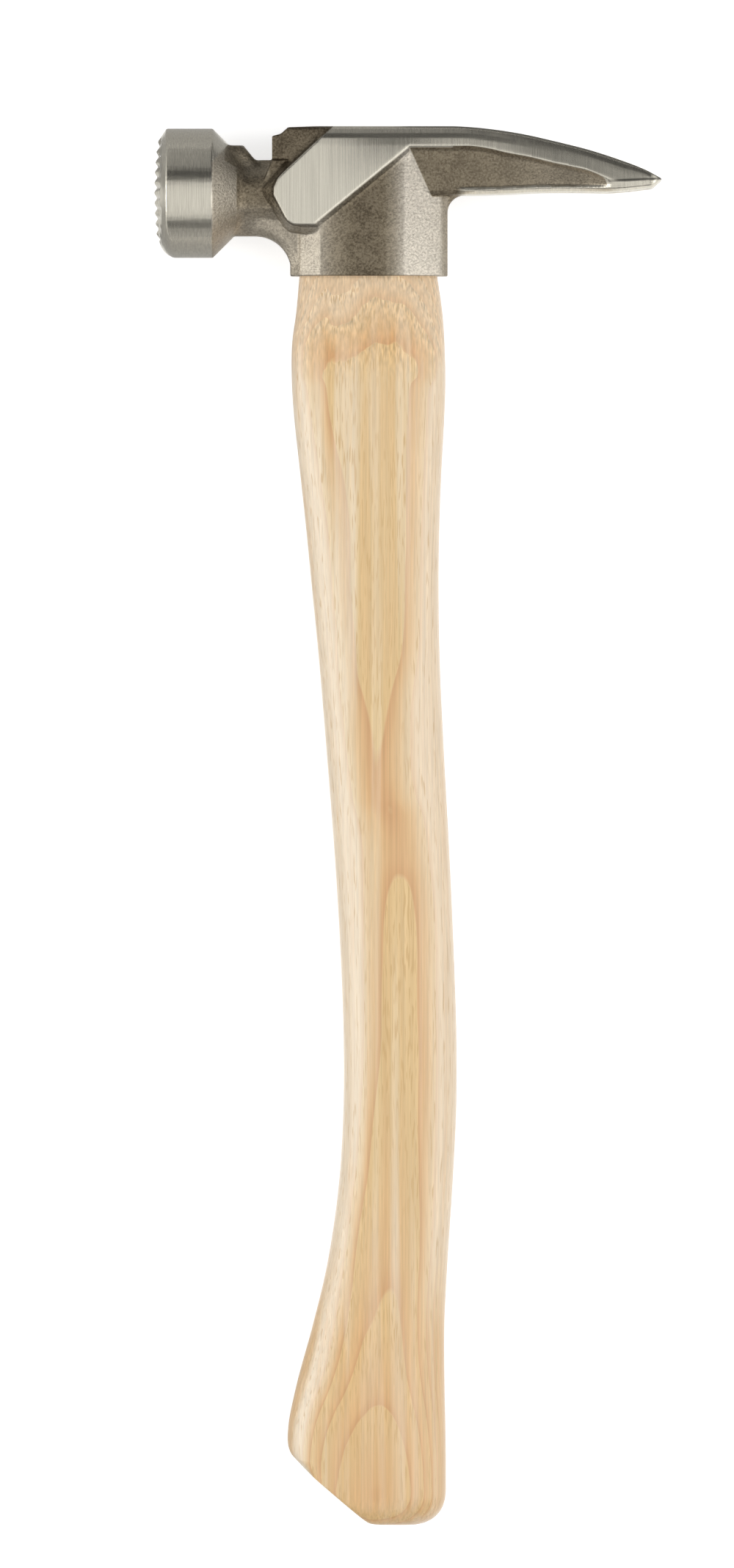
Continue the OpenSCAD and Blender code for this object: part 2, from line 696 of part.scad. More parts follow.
module wood_wedge() {
    color("#c79a63") difference() {
        intersection() {
            wood_wedge_shape(0);
            loft([for (ring = eye_rings(fit_gap, 0)) [for (p = ring) [p[0], min(p[1], -top_sink), p[2]]]]);
        }
        for (side = [-1, 1]) steel_wedge_seat(side);
    }
}

module steel_wedge_front() {
    steel_wedge(-1);
}

module steel_wedge_rear() {
    steel_wedge(1);
}

// Magnet
// Middle of the flat top of the nail rest
function magnet_x() = rest_foot - rest_run - rest_l / 2;

module nail_magnet() {
    color("#4b4b4e") translate([magnet_x(), -groove_drop - fit_gap, 0]) rotate([90, 0, 0])
        cylinder(magnet_h, magnet_d / 2, magnet_d / 2, $fn = turned_fn / 2);
}

// Lays the hammer on its side, with its box centred over the origin and its lowest point on the ground
module on_its_side() {
    translate([(face_reach - claw_reach) / 2, overall_length / 2, girth_half]) children();
}

on_its_side() head();
on_its_side() handle();
on_its_side() wood_wedge();
on_its_side() steel_wedge_front();
on_its_side() steel_wedge_rear();
on_its_side() nail_magnet();
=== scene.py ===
import math

import bmesh
import bpy
import numpy as np
from bpy.props import FloatProperty, FloatVectorProperty, IntProperty, PointerProperty
from bpy.types import Operator, Panel, PropertyGroup
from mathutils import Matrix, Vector


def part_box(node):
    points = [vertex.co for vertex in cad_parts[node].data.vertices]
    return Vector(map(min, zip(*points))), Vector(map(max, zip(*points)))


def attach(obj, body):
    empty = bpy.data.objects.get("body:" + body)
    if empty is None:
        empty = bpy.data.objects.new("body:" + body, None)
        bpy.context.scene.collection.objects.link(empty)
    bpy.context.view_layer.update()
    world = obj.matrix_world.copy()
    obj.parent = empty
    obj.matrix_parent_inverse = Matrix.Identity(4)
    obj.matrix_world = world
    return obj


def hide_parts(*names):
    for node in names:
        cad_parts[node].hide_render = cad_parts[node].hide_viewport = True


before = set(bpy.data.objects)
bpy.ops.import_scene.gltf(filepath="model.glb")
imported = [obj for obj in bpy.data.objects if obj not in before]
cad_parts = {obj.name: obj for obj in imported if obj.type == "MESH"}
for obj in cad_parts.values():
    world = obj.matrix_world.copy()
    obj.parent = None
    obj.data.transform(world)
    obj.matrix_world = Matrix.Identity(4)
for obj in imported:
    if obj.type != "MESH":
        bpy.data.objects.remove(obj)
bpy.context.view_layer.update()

bl_info = {
    "name": "Framing hammer",
    "version": (1, 0, 0),
    "blender": (4, 5, 0),
    "location": "View3D > Sidebar > Hammer",
    "description": "Finishes a framing hammer: forged head, hickory handle, wedges and a pale studio",
    "category": "Object",
}

MM = 0.001
HEAD_LOW, HEAD_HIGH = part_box("head")
WEDGE_LOW, WEDGE_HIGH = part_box("wood_wedge")

# The hammer's own axes: s runs from the middle of the eye to the claw, u up from the top of the head, so that
# the hammer lies below zero, and w from the plane that halves the hammer
EYE_X = (WEDGE_LOW.x + WEDGE_HIGH.x) / 2
TOP_Y = HEAD_HIGH.y
MID_Z = (HEAD_LOW.z + HEAD_HIGH.z) / 2
COLLAR_DOWN = HEAD_LOW.y - TOP_Y
END_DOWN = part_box("handle")[0].y - TOP_Y
CLAW_REACH = HEAD_HIGH.x - EYE_X

# The photograph: its frame in pixels, and the pixels of the middle of the eye, the top and the end
PHOTO_W, PHOTO_H = 1000, 2137
PHOTO_EYE_X, PHOTO_TOP_Y, PHOTO_END_Y = 500, 173, 2077.5
# How far above the hammer the camera is, in metres, and the longer side of its film, in millimetres
CAMERA_DISTANCE = 9
FILM = 36


def length(name, description, size):
    """A setting for a length, from its default in millimetres."""
    return FloatProperty(name=name, description=description, default=size * MM, unit="LENGTH")


class HammerSizes(PropertyGroup):
    """Sizes of the handle, of the worn edges and of the wood's layers."""

    eye_depth: length("Tenon depth", "Handle in the eye, front to back", 40)
    eye_thickness: length("Tenon thickness", "Handle in the eye, across", 19.1)
    shoulder_depth: length("Shoulder depth", "Handle under the head, front to back", 44.6)
    shoulder_thickness: length("Shoulder thickness", "Handle under the head, across", 25.2)
    grip_depth: length("Grip depth", "Narrowest part, front to back", 32.8)
    grip_thickness: length("Grip thickness", "Narrowest part, across", 23.4)
    butt_depth: length("Butt depth", "Flared end, front to back", 46.4)
    butt_thickness: length("Butt thickness", "Flared end, across", 27.6)
    sway: length("Sway", "How far the grip sways back", 9.6)
    heel_angle: FloatProperty(
        name="Heel angle", description="Slope of the sawn heel", default=math.radians(40.6), unit="ROTATION")
    heel_run: length("Heel run", "From the front edge to the foot of the heel", 24)
    toe_radius: length("Toe radius", "Rounding of the lower rear corner", 10)
    edge_wear: length("Worn edge", "Rounding of the handle's sawn edges", 1.2)
    steel_cell: length("Steel cell", "Size of a cell of the head's surface", 0.32)
    steel_wear: IntProperty(
        name="Steel wear", description="Passes that round the head's edges", default=4, min=0, max=20)
    layer: length("Growth layer", "Thickness of a year's growth in the hickory", 1.75)


def linear(code):
    """The linear colour of an sRGB hex code, by the sRGB curve."""
    parts = [int(code[i:i + 2], 16) / 255 for i in (1, 3, 5)]
    return (*[p / 12.92 if p <= 0.04045 else ((p + 0.055) / 1.055) ** 2.4 for p in parts], 1.0)


def colour(name, description, code):
    """A setting for a colour, from its default as an sRGB hex code."""
    return FloatVectorProperty(
        name=name, description=description, default=linear(code), size=4, min=0, max=1, subtype="COLOR")


class HammerColours(PropertyGroup):
    """Colours of the steel, the wood and the floor."""

    blasted_light: colour("Blasted steel, light", "High spots of the shot-blasted forging", "#766C5B")
    blasted_dark: colour("Blasted steel, dark", "Pits of the shot-blasted forging", "#50473A")
    # The next two colours are partly real wear and partly painted highlight on cone, neck and bevels
    wear_and_highlight: colour("Rubbed steel", "Blasted skin that wear has brightened", "#AB9E83")
    bright: colour("Bright steel", "Blasted skin that is worn almost smooth", "#D6D0C6")
    ground: colour("Ground steel", "Brushed faces of the head", "#CBC6B8")
    earlywood: colour("Hickory, early wood", "Start of a year's growth", "#E5C792")
    midwood: colour("Hickory, mid growth", "Middle of a year's growth", "#E4C593")
    latewood: colour("Hickory, late wood", "End of a year's growth", "#E2BD8B")
    line: colour("Hickory, growth line", "Thin line between two years", "#D8AC7C")
    sapwood: colour("Hickory, sapwood", "Pale outer layers and streaks", "#F3E2C8")
    heartwood: colour("Hickory, heartwood", "Tint of the warmer wood over the rest", "#F6E3CB")
    pore: colour("Hickory, pores", "Open pores of the early wood", "#CFA76C")
    wedge_wood: colour("Wedge wood", "Hardwood wedge, seen at its end", "#B98A55")
    wedge_steel: colour("Wedge steel", "Stamped wedges", "#6B6761")
    magnet: colour("Magnet", "Nickel plate on the nail magnet", "#A9A6A0")
    floor: colour("Floor", "Paper sweep under the hammer", "#E6E6E6")


# The handle from collar to butt, one row a section: place along the part below the collar; sway; how much
# the section takes of the tenon's, the shoulder's, the grip's and the butt's size; and how square it is
HANDLE_ROWS = np.array([
    [0, 0.04, 1, 0, 0, 0, 2.6],
    [0.028, 0.07, 0.48, 0.52, 0, 0, 3.1],
    [0.055, 0.04, 0.06, 0.94, 0, 0, 3.5],
    [0.085, 0.05, 0, 1, 0, 0, 3.6],
    [0.115, 0.07, 0, 0.91, 0.09, 0, 3.5],
    [0.155, 0.11, 0, 0.71, 0.29, 0, 3.3],
    [0.2, 0.17, 0, 0.51, 0.49, 0, 3.1],
    [0.25, 0.25, 0, 0.34, 0.66, 0, 2.9],
    [0.31, 0.38, 0, 0.19, 0.81, 0, 2.75],
    [0.38, 0.55, 0, 0.11, 0.89, 0, 2.6],
    [0.46, 0.75, 0, 0.05, 0.95, 0, 2.6],
    [0.54, 0.91, 0, 0.01, 0.99, 0, 2.6],
    [0.61, 1, 0, 0, 1, 0, 2.6],
    [0.67, 0.99, 0, 0, 1, 0, 2.6],
    [0.73, 0.86, 0, 0, 0.98, 0.02, 2.6],
    [0.79, 0.62, 0, 0, 0.85, 0.15, 2.65],
    [0.84, 0.35, 0, 0, 0.6, 0.4, 2.7],
    [0.885, 0.12, 0, 0, 0.27, 0.73, 2.8],
    [0.925, -0.02, 0, 0, 0.03, 0.97, 2.9],
    [0.95, -0.03, 0, 0, 0, 1, 3],
])
# The rounded toe: height above the end, and how far the edge has drawn in, as shares of the toe's radius
TOE_ROWS = np.array([[1, 0], [0.72, 0.03], [0.45, 0.13], [0.22, 0.32], [0.07, 0.58], [0, 0.85]])
TOE_SIDE_SHARE = 0.4
# The heel's front corner, as shares of the butt's depth, and how much more it is worn than the other edges;
# and how near the heel's plane its wear sets in, in worn edges
HEEL_CORNER = (-0.36, -0.5)
HEEL_CORNER_WEAR = 1.5
HEEL_NEAR = (-8, -4)
# The loft starts this far up inside the eye, and the tenon is cut a little below that
LOFT_IN_EYE = 3 * MM
TENON_OVERLAP = 1 * MM
# Points round a section, and steps from each row to the next
SECTION_POINTS = 128
SHAFT_STEPS = 12
TOE_STEPS = 8

# The head's faces that are ground bright, and how soft their borders are. The poll is ground from the face to
# the end of its land, and near the top on the cone too
POLISH_SOFT = 0.2 * MM
POLL_LAND = 16.8 * MM
POLL_TOP_BAND = 10.6 * MM
POLL_TOP_SLOPE = 0.87
# The raised panel: how far out from the middle its face stands, which is less near the top, and its two ends
# along s
PANEL_SIDE = 13.7 * MM
PANEL_LEAN = 1.4 * MM
PANEL_LEAN_ENDS = (-7 * MM, -4 * MM)
PANEL_ENDS = (-30 * MM, 24.8 * MM)
# The slanted edge behind which the panel leans and the top is ground: s at the top, and its slope over u
PANEL_CORNER = -9.7 * MM
PANEL_SLOPE = 1.065
TOP_DEPTH = (-1.5 * MM, -1.1 * MM)
# The lower edge of the claw's ground band: place along the claw's reach, and drop from the top of the head as
# a share of the claw's height at its root; and how soft that edge is
CLAW_ROOT_HEIGHT = 19.9 * MM
BAND_EDGE = np.array([
    [0.083, 0.29], [0.29, 0.29], [0.35, 0.29], [0.41, 0.325], [0.475, 0.39], [0.55, 0.45], [0.625, 0.53],
    [0.7, 0.598], [0.75, 0.65], [0.8, 0.75], [0.815, 0.86], [0.83, 1.1], [0.87, 1.15], [1, 1.15],
])
BAND_SOFT = (-0.1 * MM, 0.15 * MM)
# The claw's underside in the same shares, the ground strip along it, and where the ground tip begins
UNDERSIDE = np.array([
    [0.29, 1], [0.41, 0.995], [0.475, 0.985], [0.55, 0.968], [0.625, 0.96], [0.8, 0.966], [0.87, 0.95],
    [1, 0.95],
])
STRIP_HEIGHT = 2 * MM
STRIP_ENDS = (26 * MM, 29 * MM)
TIP_START = (0.84, 0.86)

# Where the neck's facets run together: its two ends along s, the second of which moves towards the eye low
# down, and the part of w where it sets in
NECK_PASSES = 80
NECK_EASED_FRONT = (-42 * MM, -39 * MM)
NECK_EASED_BACK = (-30.5 * MM, -32 * MM)
NECK_EASED_LOW = (-26 * MM, -28.5 * MM)
NECK_EASED_SHIFT = 6 * MM
NECK_EASED_SIDE = (3 * MM, 5 * MM)
FACES_KEPT = 0.36

# Where wear has brightened the blasted skin, along s, and how far; on the cone and the collar's bevels this
# brightening is in part painted highlight. Here and below, the rows of a curve on the head have their places
# in millimetres
WEAR_AND_HIGHLIGHT = [
    (-62, 0.6), (-46, 0.62), (-39, 0.62), (-37, 0.4), (-35, 0.1), (-28, 0.1), (-20, 0.05), (-19.3, 0.6),
    (-14, 0.6), (-13, 0.52), (-6, 0.16), (0, 0.02), (6, 0.28), (10.5, 0.7), (11.4, 0.76), (21, 0.72),
    (22, 0.5), (23.7, 0.4), (24.5, 0.15), (85.5, 0.15),
]
# The neck along s, how much nearer the poll it begins above a height, and its places along u that wear, and
# in part painted highlight, brighten
NECK = (-37.5 * MM, -19.6 * MM)
NECK_SHIFT = 3.5 * MM
NECK_SHIFT_ENDS = (-12 * MM, -10 * MM)
NECK_WEAR_AND_HIGHLIGHT = [
    (-48, 0.35), (-30, 0.55), (-25, 0.42), (-18, 0.1), (-15, 0.22), (-12, 0.38), (-9.5, 0.3), (-4, 0.22),
    (0, 0.1),
]
# The block over the neck along s, and where its foot and the recess's end along u
BLOCK = (-28 * MM, -8 * MM)
BLOCK_FOOT = (-20.7 * MM, -20.2 * MM)
# The claw's recess: where its slanted edge begins and ends along s at the top, the slope of s over u, and its
# places along s that wear, and in part painted highlight, brighten
RECESS_EDGE = (9.4 * MM, 9.8 * MM)
RECESS_SLOPE = -0.452
RECESS_WEAR_AND_HIGHLIGHT = [(9, 0.15), (30, 0.17), (45, 0.26), (60, 0.36), (85.5, 0.36)]
# Painted shade at the foot of the raised panel, by w, s and u
PANEL_FOOT = (12.85 * MM, 13.4 * MM)
PANEL_FOOT_SOFT = 0.1 * MM
PANEL_FOOT_ENDS = (-28 * MM, 12 * MM)
PANEL_FOOT_TOP = (-4 * MM, -3.5 * MM)
# Painted shade in the crease over the tip's bevel: the crease as u along s, how far from it the shade ends,
# where it sets in along s, and how much more of it there is than at the panel's foot
CREASE = [(68, -16.1), (71, -15.9), (78, -15.6), (86, -15.2)]
CREASE_WIDTH = (0.15 * MM, 0.55 * MM)
CREASE_START = (69 * MM, 73 * MM)
CREASE_SHADE = 1.5

# The hickory's figure on the hammer's side, each by place from the top of the head (0) to the butt (1), in
# millimetres: how far the growth layers are lifted, the line along which the arches stand, and how much the
# layers bend across the handle, in thousandths of a millimetre a square millimetre
LAYER_LIFT = [
    (0, -3), (0.1, -0.5), (0.126, -0.08), (0.1615, -0.08), (0.18, 0.3), (0.198, 0.57), (0.219, 0.6),
    (0.254, 0.73), (0.294, 0.86), (0.355, 1.0), (0.391, 0.91), (0.41, 0.82), (0.45, 0.65), (0.487, 0.48),
    (0.52, 0.52), (0.537, 0.7), (0.56, 0.9), (0.623, 1.05), (0.72, 1.4), (0.83, 2.0), (0.865, 1.95),
    (0.907, 2.25), (0.92, 2.5), (0.965, 3.4), (0.985, 3.65), (1, 3.7),
]
FIGURE_LINE = [
    (0, -3), (0.15, -1), (0.17, -1), (0.28, 3.5), (0.36, 3), (0.43, -3), (0.48, 1), (0.537, 14), (0.62, 10.5),
    (0.83, 4.7), (0.91, 4.3), (1, 3),
]
LAYER_BEND = [
    (0, 0), (0.126, 0), (0.15, -1), (0.165, -2), (0.185, 1.5), (0.2, 3), (0.28, 4), (0.355, 4), (0.43, 6),
    (0.5, 5), (0.78, 5), (0.87, 11), (0.93, 7), (1, 7),
]
# How far out from the middle the first growth line lies, and how far the layers wander and ripple
FIRST_LAYER = 12.45 * MM
WANDER = 1.1 * MM
RIPPLE = 1.1
# The wood under the head ends between these places, wavily
UNDER_HEAD = (0.175, 0.2)
UNDER_HEAD_WAVE = 0.03
# A dip in the layers under the head: millimetres across the handle, and millimetres down; and where it fades
LAYER_DIP = [(-20, 0), (-13, 0.1), (-11, -0.3), (-7.5, -0.95), (-4, -0.6), (0, -0.15), (4, 0), (20, 0)]
DIP_ENDS = (0.142, 0.165)
# Pale sapwood sets in between these depths. By the butt, deep layers and the rear are warm instead
SAPWOOD = (-0.3 * MM, -2.5 * MM)
BUTT_DEEP = (-5 * MM, -8 * MM)
BUTT_REAR = (2 * MM, 7 * MM)
BUTT_REAR_START = (0.8, 0.87)
# Where the butt's warmer wood sets in, along the handle and behind its front edge, and that of the rear side
BUTT_START = (0.79, 0.87)
BUTT_FRONT = (-13 * MM, -8 * MM)
REAR_SIDE = (9 * MM, 15 * MM)

# Most of a random pattern lies between these two
SPREAD = (0.3, 0.7)
# Kinds of node
MATH = "ShaderNodeMath"
VECTOR_MATH = "ShaderNodeVectorMath"
RANGE = "ShaderNodeMapRange"
MIX = "ShaderNodeMix"
RAMP = "ShaderNodeValToRGB"

# The studio: how bright the paper's own glow and the soft light on the object are, and how far cards reach
PAPER_REACH = 12
PAPER_GLOW = 0.62
SOFT_LIGHT = 0.33
CARD_END = 0.9
SKY_DISTANCE = 1.3
# The far sky is darker behind the claw than from here to the face
SKY_SPLIT = 0.03


def between(rows, steps):
    """Rows with smooth ones filled in by the cubic that passes through each row and leaves it along the line
    from the row before to the row after."""
    padded = np.vstack([rows[:1], rows, rows[-1:]])
    a, b, c, d = (padded[i:len(rows) - 1 + i, None, :] for i in range(4))
    t = (np.arange(steps) / steps)[None, :, None]
    cubic = (2 * b + (c - a) * t + (2 * a - 5 * b + 4 * c - d) * t**2 + (3 * b - a - 3 * c + d) * t**3) / 2
    return np.vstack([cubic.reshape(-1, rows.shape[1]), rows[-1:]])


def smooth_step(low, high, values):
    """0 at low, 1 at high, and between them 3t^2 - 2t^3, where t is the share of the way."""
    t = np.clip((values - low) / (high - low), 0, 1)
    return t * t * (3 - 2 * t)


def ovals(centres, heights, depths, thicknesses, squares):
    """Rings of points, one a row: a superellipse whose axes are the row's depth and thickness and whose power
    is its squareness, at the row's centre and height. Depth runs along X and thickness along Z."""
    turn = np.linspace(0, 2 * np.pi, SECTION_POINTS, endpoint=False)[None, :]
    power = 2 / squares[:, None]
    x = centres[:, None] + depths[:, None] / 2 * np.sign(np.cos(turn)) * np.abs(np.cos(turn)) ** power
    z = thicknesses[:, None] / 2 * np.sign(np.sin(turn)) * np.abs(np.sin(turn)) ** power
    y = np.broadcast_to(heights[:, None], x.shape)
    return np.stack([EYE_X + x, TOP_Y + y, MID_Z + z], axis=-1)


def skin(rings):
    """Faces of a closed skin over rings of points: a quad between neighbours, wrapped round, and a flat face
    on each end."""
    rows, count = rings.shape[:2]
    at = np.arange(rows * count).reshape(rows, count)
    beside = np.roll(at, -1, axis=1)
    quads = np.stack([at[:-1], beside[:-1], beside[1:], at[1:]], axis=-1).reshape(-1, 4)
    return [*quads.tolist(), at[0][::-1].tolist(), at[-1].tolist()]


def finished(name, mesh, cad_node, sharp_angle):
    """Links a mesh as a piece at the origin under the root body, faces it outwards, shades it smooth up to an
    angle, and hides the CAD node that it stands for."""
    if not mesh.polygons:
        raise RuntimeError(f"{name} has no faces")
    sound = bmesh.new()
    sound.from_mesh(mesh)
    bmesh.ops.recalc_face_normals(sound, faces=sound.faces)
    sound.to_mesh(mesh)
    sound.free()
    mesh.shade_smooth()
    mesh.set_sharp_from_angle(angle=math.radians(sharp_angle))
    made = bpy.data.objects.new(name, mesh)
    bpy.context.scene.collection.objects.link(made)
    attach(made, "root")
    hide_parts(cad_node)
    return made


def welded_copy(cad_node, name):
    """A copy of a CAD node's mesh, without its normals, whose loose triangles are joined at their corners."""
    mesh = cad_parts[cad_node].data.copy()
    mesh.name = name
    mesh.materials.clear()
    if mesh.has_custom_normals:
        mesh.attributes.remove(mesh.attributes["custom_normal"])
    sound = bmesh.new()
    sound.from_mesh(mesh)
    bmesh.ops.remove_doubles(sound, verts=sound.verts, dist=MM / 1000)
    sound.to_mesh(mesh)
    sound.free()
    return mesh


def scored(mesh, cuts):
    """Cuts new edges into a mesh on each side of planes, so that an attribute can change sharply there."""
    sound = bmesh.new()
    sound.from_mesh(mesh)
    for point, normal in cuts:
        for side in (-1, 1):
            everything = [*sound.verts, *sound.edges, *sound.faces]
            place = Vector(point) + Vector(normal).normalized() * side * POLISH_SOFT
            bmesh.ops.bisect_plane(sound, geom=everything, plane_co=place, plane_no=normal)
    sound.to_mesh(mesh)
    sound.free()


def reworked(mesh, changes):
    """A mesh after modifiers, each given by its kind and settings."""
    passing = bpy.data.objects.new("passing", mesh)
    bpy.context.scene.collection.objects.link(passing)
    for kind, settings in changes:
        change = passing.modifiers.new(kind, kind)
        for name, value in settings.items():
            setattr(change, name, value)
    ready = passing.evaluated_get(bpy.context.evaluated_depsgraph_get())
    made = bpy.data.meshes.new_from_object(ready)
    bpy.data.objects.remove(passing)
    return made


def points_of(mesh):
    """The points of a mesh, one a row."""
    points = np.zeros(len(mesh.vertices) * 3, np.float32)
    mesh.vertices.foreach_get("co", points)
    return points.reshape(-1, 3).astype(float)


def head_axes(mesh):
    """The hammer's own axes s, u and w of each point of a mesh, with w taken on both sides alike."""
    x, y, z = points_of(mesh).T
    return x - EYE_X, y - TOP_Y, np.abs(z - MID_Z)


def eased(mesh, shares, passes):
    """Moves each point half the way to the mean of its neighbours, times its share, pass after pass."""
    points = points_of(mesh)
    ends = np.zeros(len(mesh.edges) * 2, np.int32)
    mesh.edges.foreach_get("vertices", ends)
    ends = ends.reshape(-1, 2)
    ends = ends[(shares[ends] > 0).any(axis=1)]
    here = np.concatenate([ends[:, 0], ends[:, 1]])
    there = np.concatenate([ends[:, 1], ends[:, 0]])
    count = np.maximum(np.bincount(here, minlength=len(points)), 1)
    for _ in range(passes):
        means = np.stack(
            [np.bincount(here, points[there, axis], len(points)) / count for axis in range(3)], axis=1)
        points += (means - points) * shares[:, None] / 2
    mesh.vertices.foreach_set("co", points.astype(np.float32).ravel())


def neck_share(mesh):
    """How far the forging flows together at each point, from 0 to 1: the product of soft steps between the
    poll's cone and the panel along s, and out to both sides of the neck along w."""
    s, u, w = head_axes(mesh)
    shift = NECK_EASED_SHIFT * smooth_step(*NECK_EASED_LOW, u)
    along = smooth_step(*NECK_EASED_FRONT, s) * smooth_step(*NECK_EASED_BACK, s - shift)
    return smooth_step(*NECK_EASED_SIDE, w) * along


def worn_head(cell, wear):
    """The head's surface laid out anew in cells, with every edge a little worn, the neck's facets run
    together, and flat stretches thinned to fewer faces."""
    mesh = reworked(
        welded_copy("head", "forged_head"),
        [("REMESH", {"mode": "VOXEL", "voxel_size": cell}), ("SMOOTH", {"iterations": wear})])
    eased(mesh, neck_share(mesh), NECK_PASSES)
    return reworked(mesh, [("DECIMATE", {"ratio": FACES_KEPT})])


def polish_of(mesh):
    """How far each point of the head is ground bright, from 0 to 1, as the greatest of soft steps: the poll's
    face, its land and the top of its cone, the raised panel, the top behind the panel's slanted edge, and the
    strip along the claw's underside and its tip. The claw's band is left to the material."""
    s, u, w = head_axes(mesh)
    soft = POLISH_SOFT
    behind_edge = s - PANEL_SLOPE * u - PANEL_CORNER
    poll_end = HEAD_LOW.x - EYE_X + POLL_LAND + np.clip(u + POLL_TOP_BAND, 0, None) * POLL_TOP_SLOPE
    poll = smooth_step(poll_end + soft, poll_end - soft, s)
    side = PANEL_SIDE - PANEL_LEAN * smooth_step(*PANEL_LEAN_ENDS, u) * (behind_edge > 0)
    panel = smooth_step(side - 2 * soft, side, w) * (s > PANEL_ENDS[0]) * (s < PANEL_ENDS[1])
    top = smooth_step(*TOP_DEPTH, u) * smooth_step(-soft, soft, behind_edge)
    foot = -np.interp(s / CLAW_REACH, *UNDERSIDE.T) * CLAW_ROOT_HEIGHT
    strip = smooth_step(soft, -soft, u - foot - STRIP_HEIGHT) * smooth_step(*STRIP_ENDS, s)
    tip = smooth_step(*TIP_START, s / CLAW_REACH)
    return np.clip(np.max([poll, panel, top, strip, tip], axis=0), 0, 1)


def add_node(tree, kind, inputs=(), output=0, stops=(), points=(), **settings):
    """Adds a node with its settings and links, and gives one of its outputs. Inputs are values or other
    nodes' outputs, in the order of the sockets or by socket. Stops are places and colours on a ramp, with the
    first and the last place before the others, and points are places and heights on a curve."""
    made = tree.nodes.new(kind)
    for name, value in settings.items():
        setattr(made, name, value)
    for socket, value in inputs.items() if isinstance(inputs, dict) else enumerate(inputs):
        if isinstance(value, bpy.types.NodeSocket):
            tree.links.new(value, made.inputs[socket])
        else:
            made.inputs[socket].default_value = value
    for i, (place, shade) in enumerate(stops):
        ramp = made.color_ramp.elements
        element = ramp[i] if i < 2 else ramp.new(place)
        element.position = place
        element.color = shade
    if points:
        line = made.mapping.curves[0].points
        for point in points[2:]:
            line.new(*point)
        for held, point in zip(line, points):
            held.location = point
        made.mapping.update()
    return made.outputs[output] if made.outputs else None


def profile(tree, value, rows, unit=MM, height=1):
    """The height at a value of a smooth curve through rows of a place and a height, each in its own unit."""
    places, heights = np.array(rows, float).T
    near, far = places[0], places[-1]
    low, high = heights.min(), heights.max()
    share = add_node(tree, RANGE, (value, near * unit, far * unit, 0, 1))
    points = np.stack([(places - near) / (far - near), (heights - low) / (high - low)], axis=1)
    bent = add_node(tree, "ShaderNodeFloatCurve", {"Value": share}, points=points.tolist())
    return add_node(tree, RANGE, (bent, 0, 1, low * height, high * height))


def within(tree, value, ends, soft=0.5 * MM):
    """1 between two places, 0 outside them, and on each side a slope as wide as soft."""
    low, high = ends
    rise = add_node(tree, RANGE, (value, low - soft, low, 0, 1))
    fall = add_node(tree, RANGE, (value, high, high + soft, 1, 0))
    return add_node(tree, MATH, (rise, fall), operation="MULTIPLY")


def grain(tree, place, sizes, detail=2, roughness=0.5):
    """A random pattern whose features have these sizes in millimetres along X, Y and Z."""
    scale = [1 / (size * MM) for size in sizes]
    cells = add_node(tree, "ShaderNodeMapping", {"Vector": place, "Scale": scale})
    return add_node(
        tree, "ShaderNodeTexNoise", {"Vector": cells, "Scale": 1, "Detail": detail, "Roughness": roughness})


def own_axes(tree):
    """The place of a point of the object, the same on the hammer's own axes, and those axes s, u and w."""
    place = add_node(tree, "ShaderNodeTexCoord", output="Object")
    local = add_node(tree, "ShaderNodeMapping", {"Vector": place, "Location": (-EYE_X, -TOP_Y, -MID_Z)})
    s, u, w = (add_node(tree, "ShaderNodeSeparateXYZ", (local,), output=axis) for axis in "XYZ")
    return place, local, s, u, w


def new_material(name):
    """An empty material and its tree."""
    made = bpy.data.materials.new(name)
    made.use_nodes = True
    made.node_tree.nodes.clear()
    return made, made.node_tree


def ground_band(tree, s, u):
    """The band ground along the claw's top: 1 over its lower edge, from the eye on, and 0 elsewhere."""
    foot = profile(tree, s, BAND_EDGE * (1, -1), unit=CLAW_REACH, height=CLAW_ROOT_HEIGHT)
    over = add_node(tree, MATH, (u, foot), operation="SUBTRACT")
    above = add_node(tree, RANGE, (over, *BAND_SOFT, 0, 1))
    start = BAND_EDGE[0, 0] * CLAW_REACH
    behind = add_node(tree, RANGE, (s, start - POLISH_SOFT, start, 0, 1))
    return add_node(tree, MATH, (above, behind), operation="MULTIPLY")


def wear_and_highlight_share(tree, s, u):
    """How far wear, and in part painted highlight on the cone, the neck and the collar's bevels, brightens
    the blasted skin, from 0 to 1. The neck and the claw's recess have rows of their own, and the block over
    the neck gets none of it."""
    wear_and_highlight = profile(tree, s, WEAR_AND_HIGHLIGHT)
    shift = add_node(tree, RANGE, (u, *NECK_SHIFT_ENDS, 0, NECK_SHIFT))
    on_neck = within(tree, add_node(tree, MATH, (s, shift), operation="ADD"), NECK)
    wear_and_highlight = add_node(tree, MIX, {0: on_neck, 2: wear_and_highlight, 3: profile(tree, u, NECK_WEAR_AND_HIGHLIGHT)})
    slanted = add_node(tree, MATH, (u, -RECESS_SLOPE, s), operation="MULTIPLY_ADD")
    in_recess = add_node(tree, RANGE, (slanted, *RECESS_EDGE, 0, 1))
    apart = add_node(tree, MATH, (in_recess, within(tree, s, BLOCK)), operation="MAXIMUM")
    over_foot = add_node(tree, RANGE, (u, *BLOCK_FOOT, 0, 1))
    apart = add_node(tree, MATH, (apart, over_foot), operation="MULTIPLY")
    recess = add_node(tree, MATH, (in_recess, profile(tree, s, RECESS_WEAR_AND_HIGHLIGHT)), operation="MULTIPLY")
    return add_node(tree, MIX, {0: apart, 2: wear_and_highlight, 3: recess})


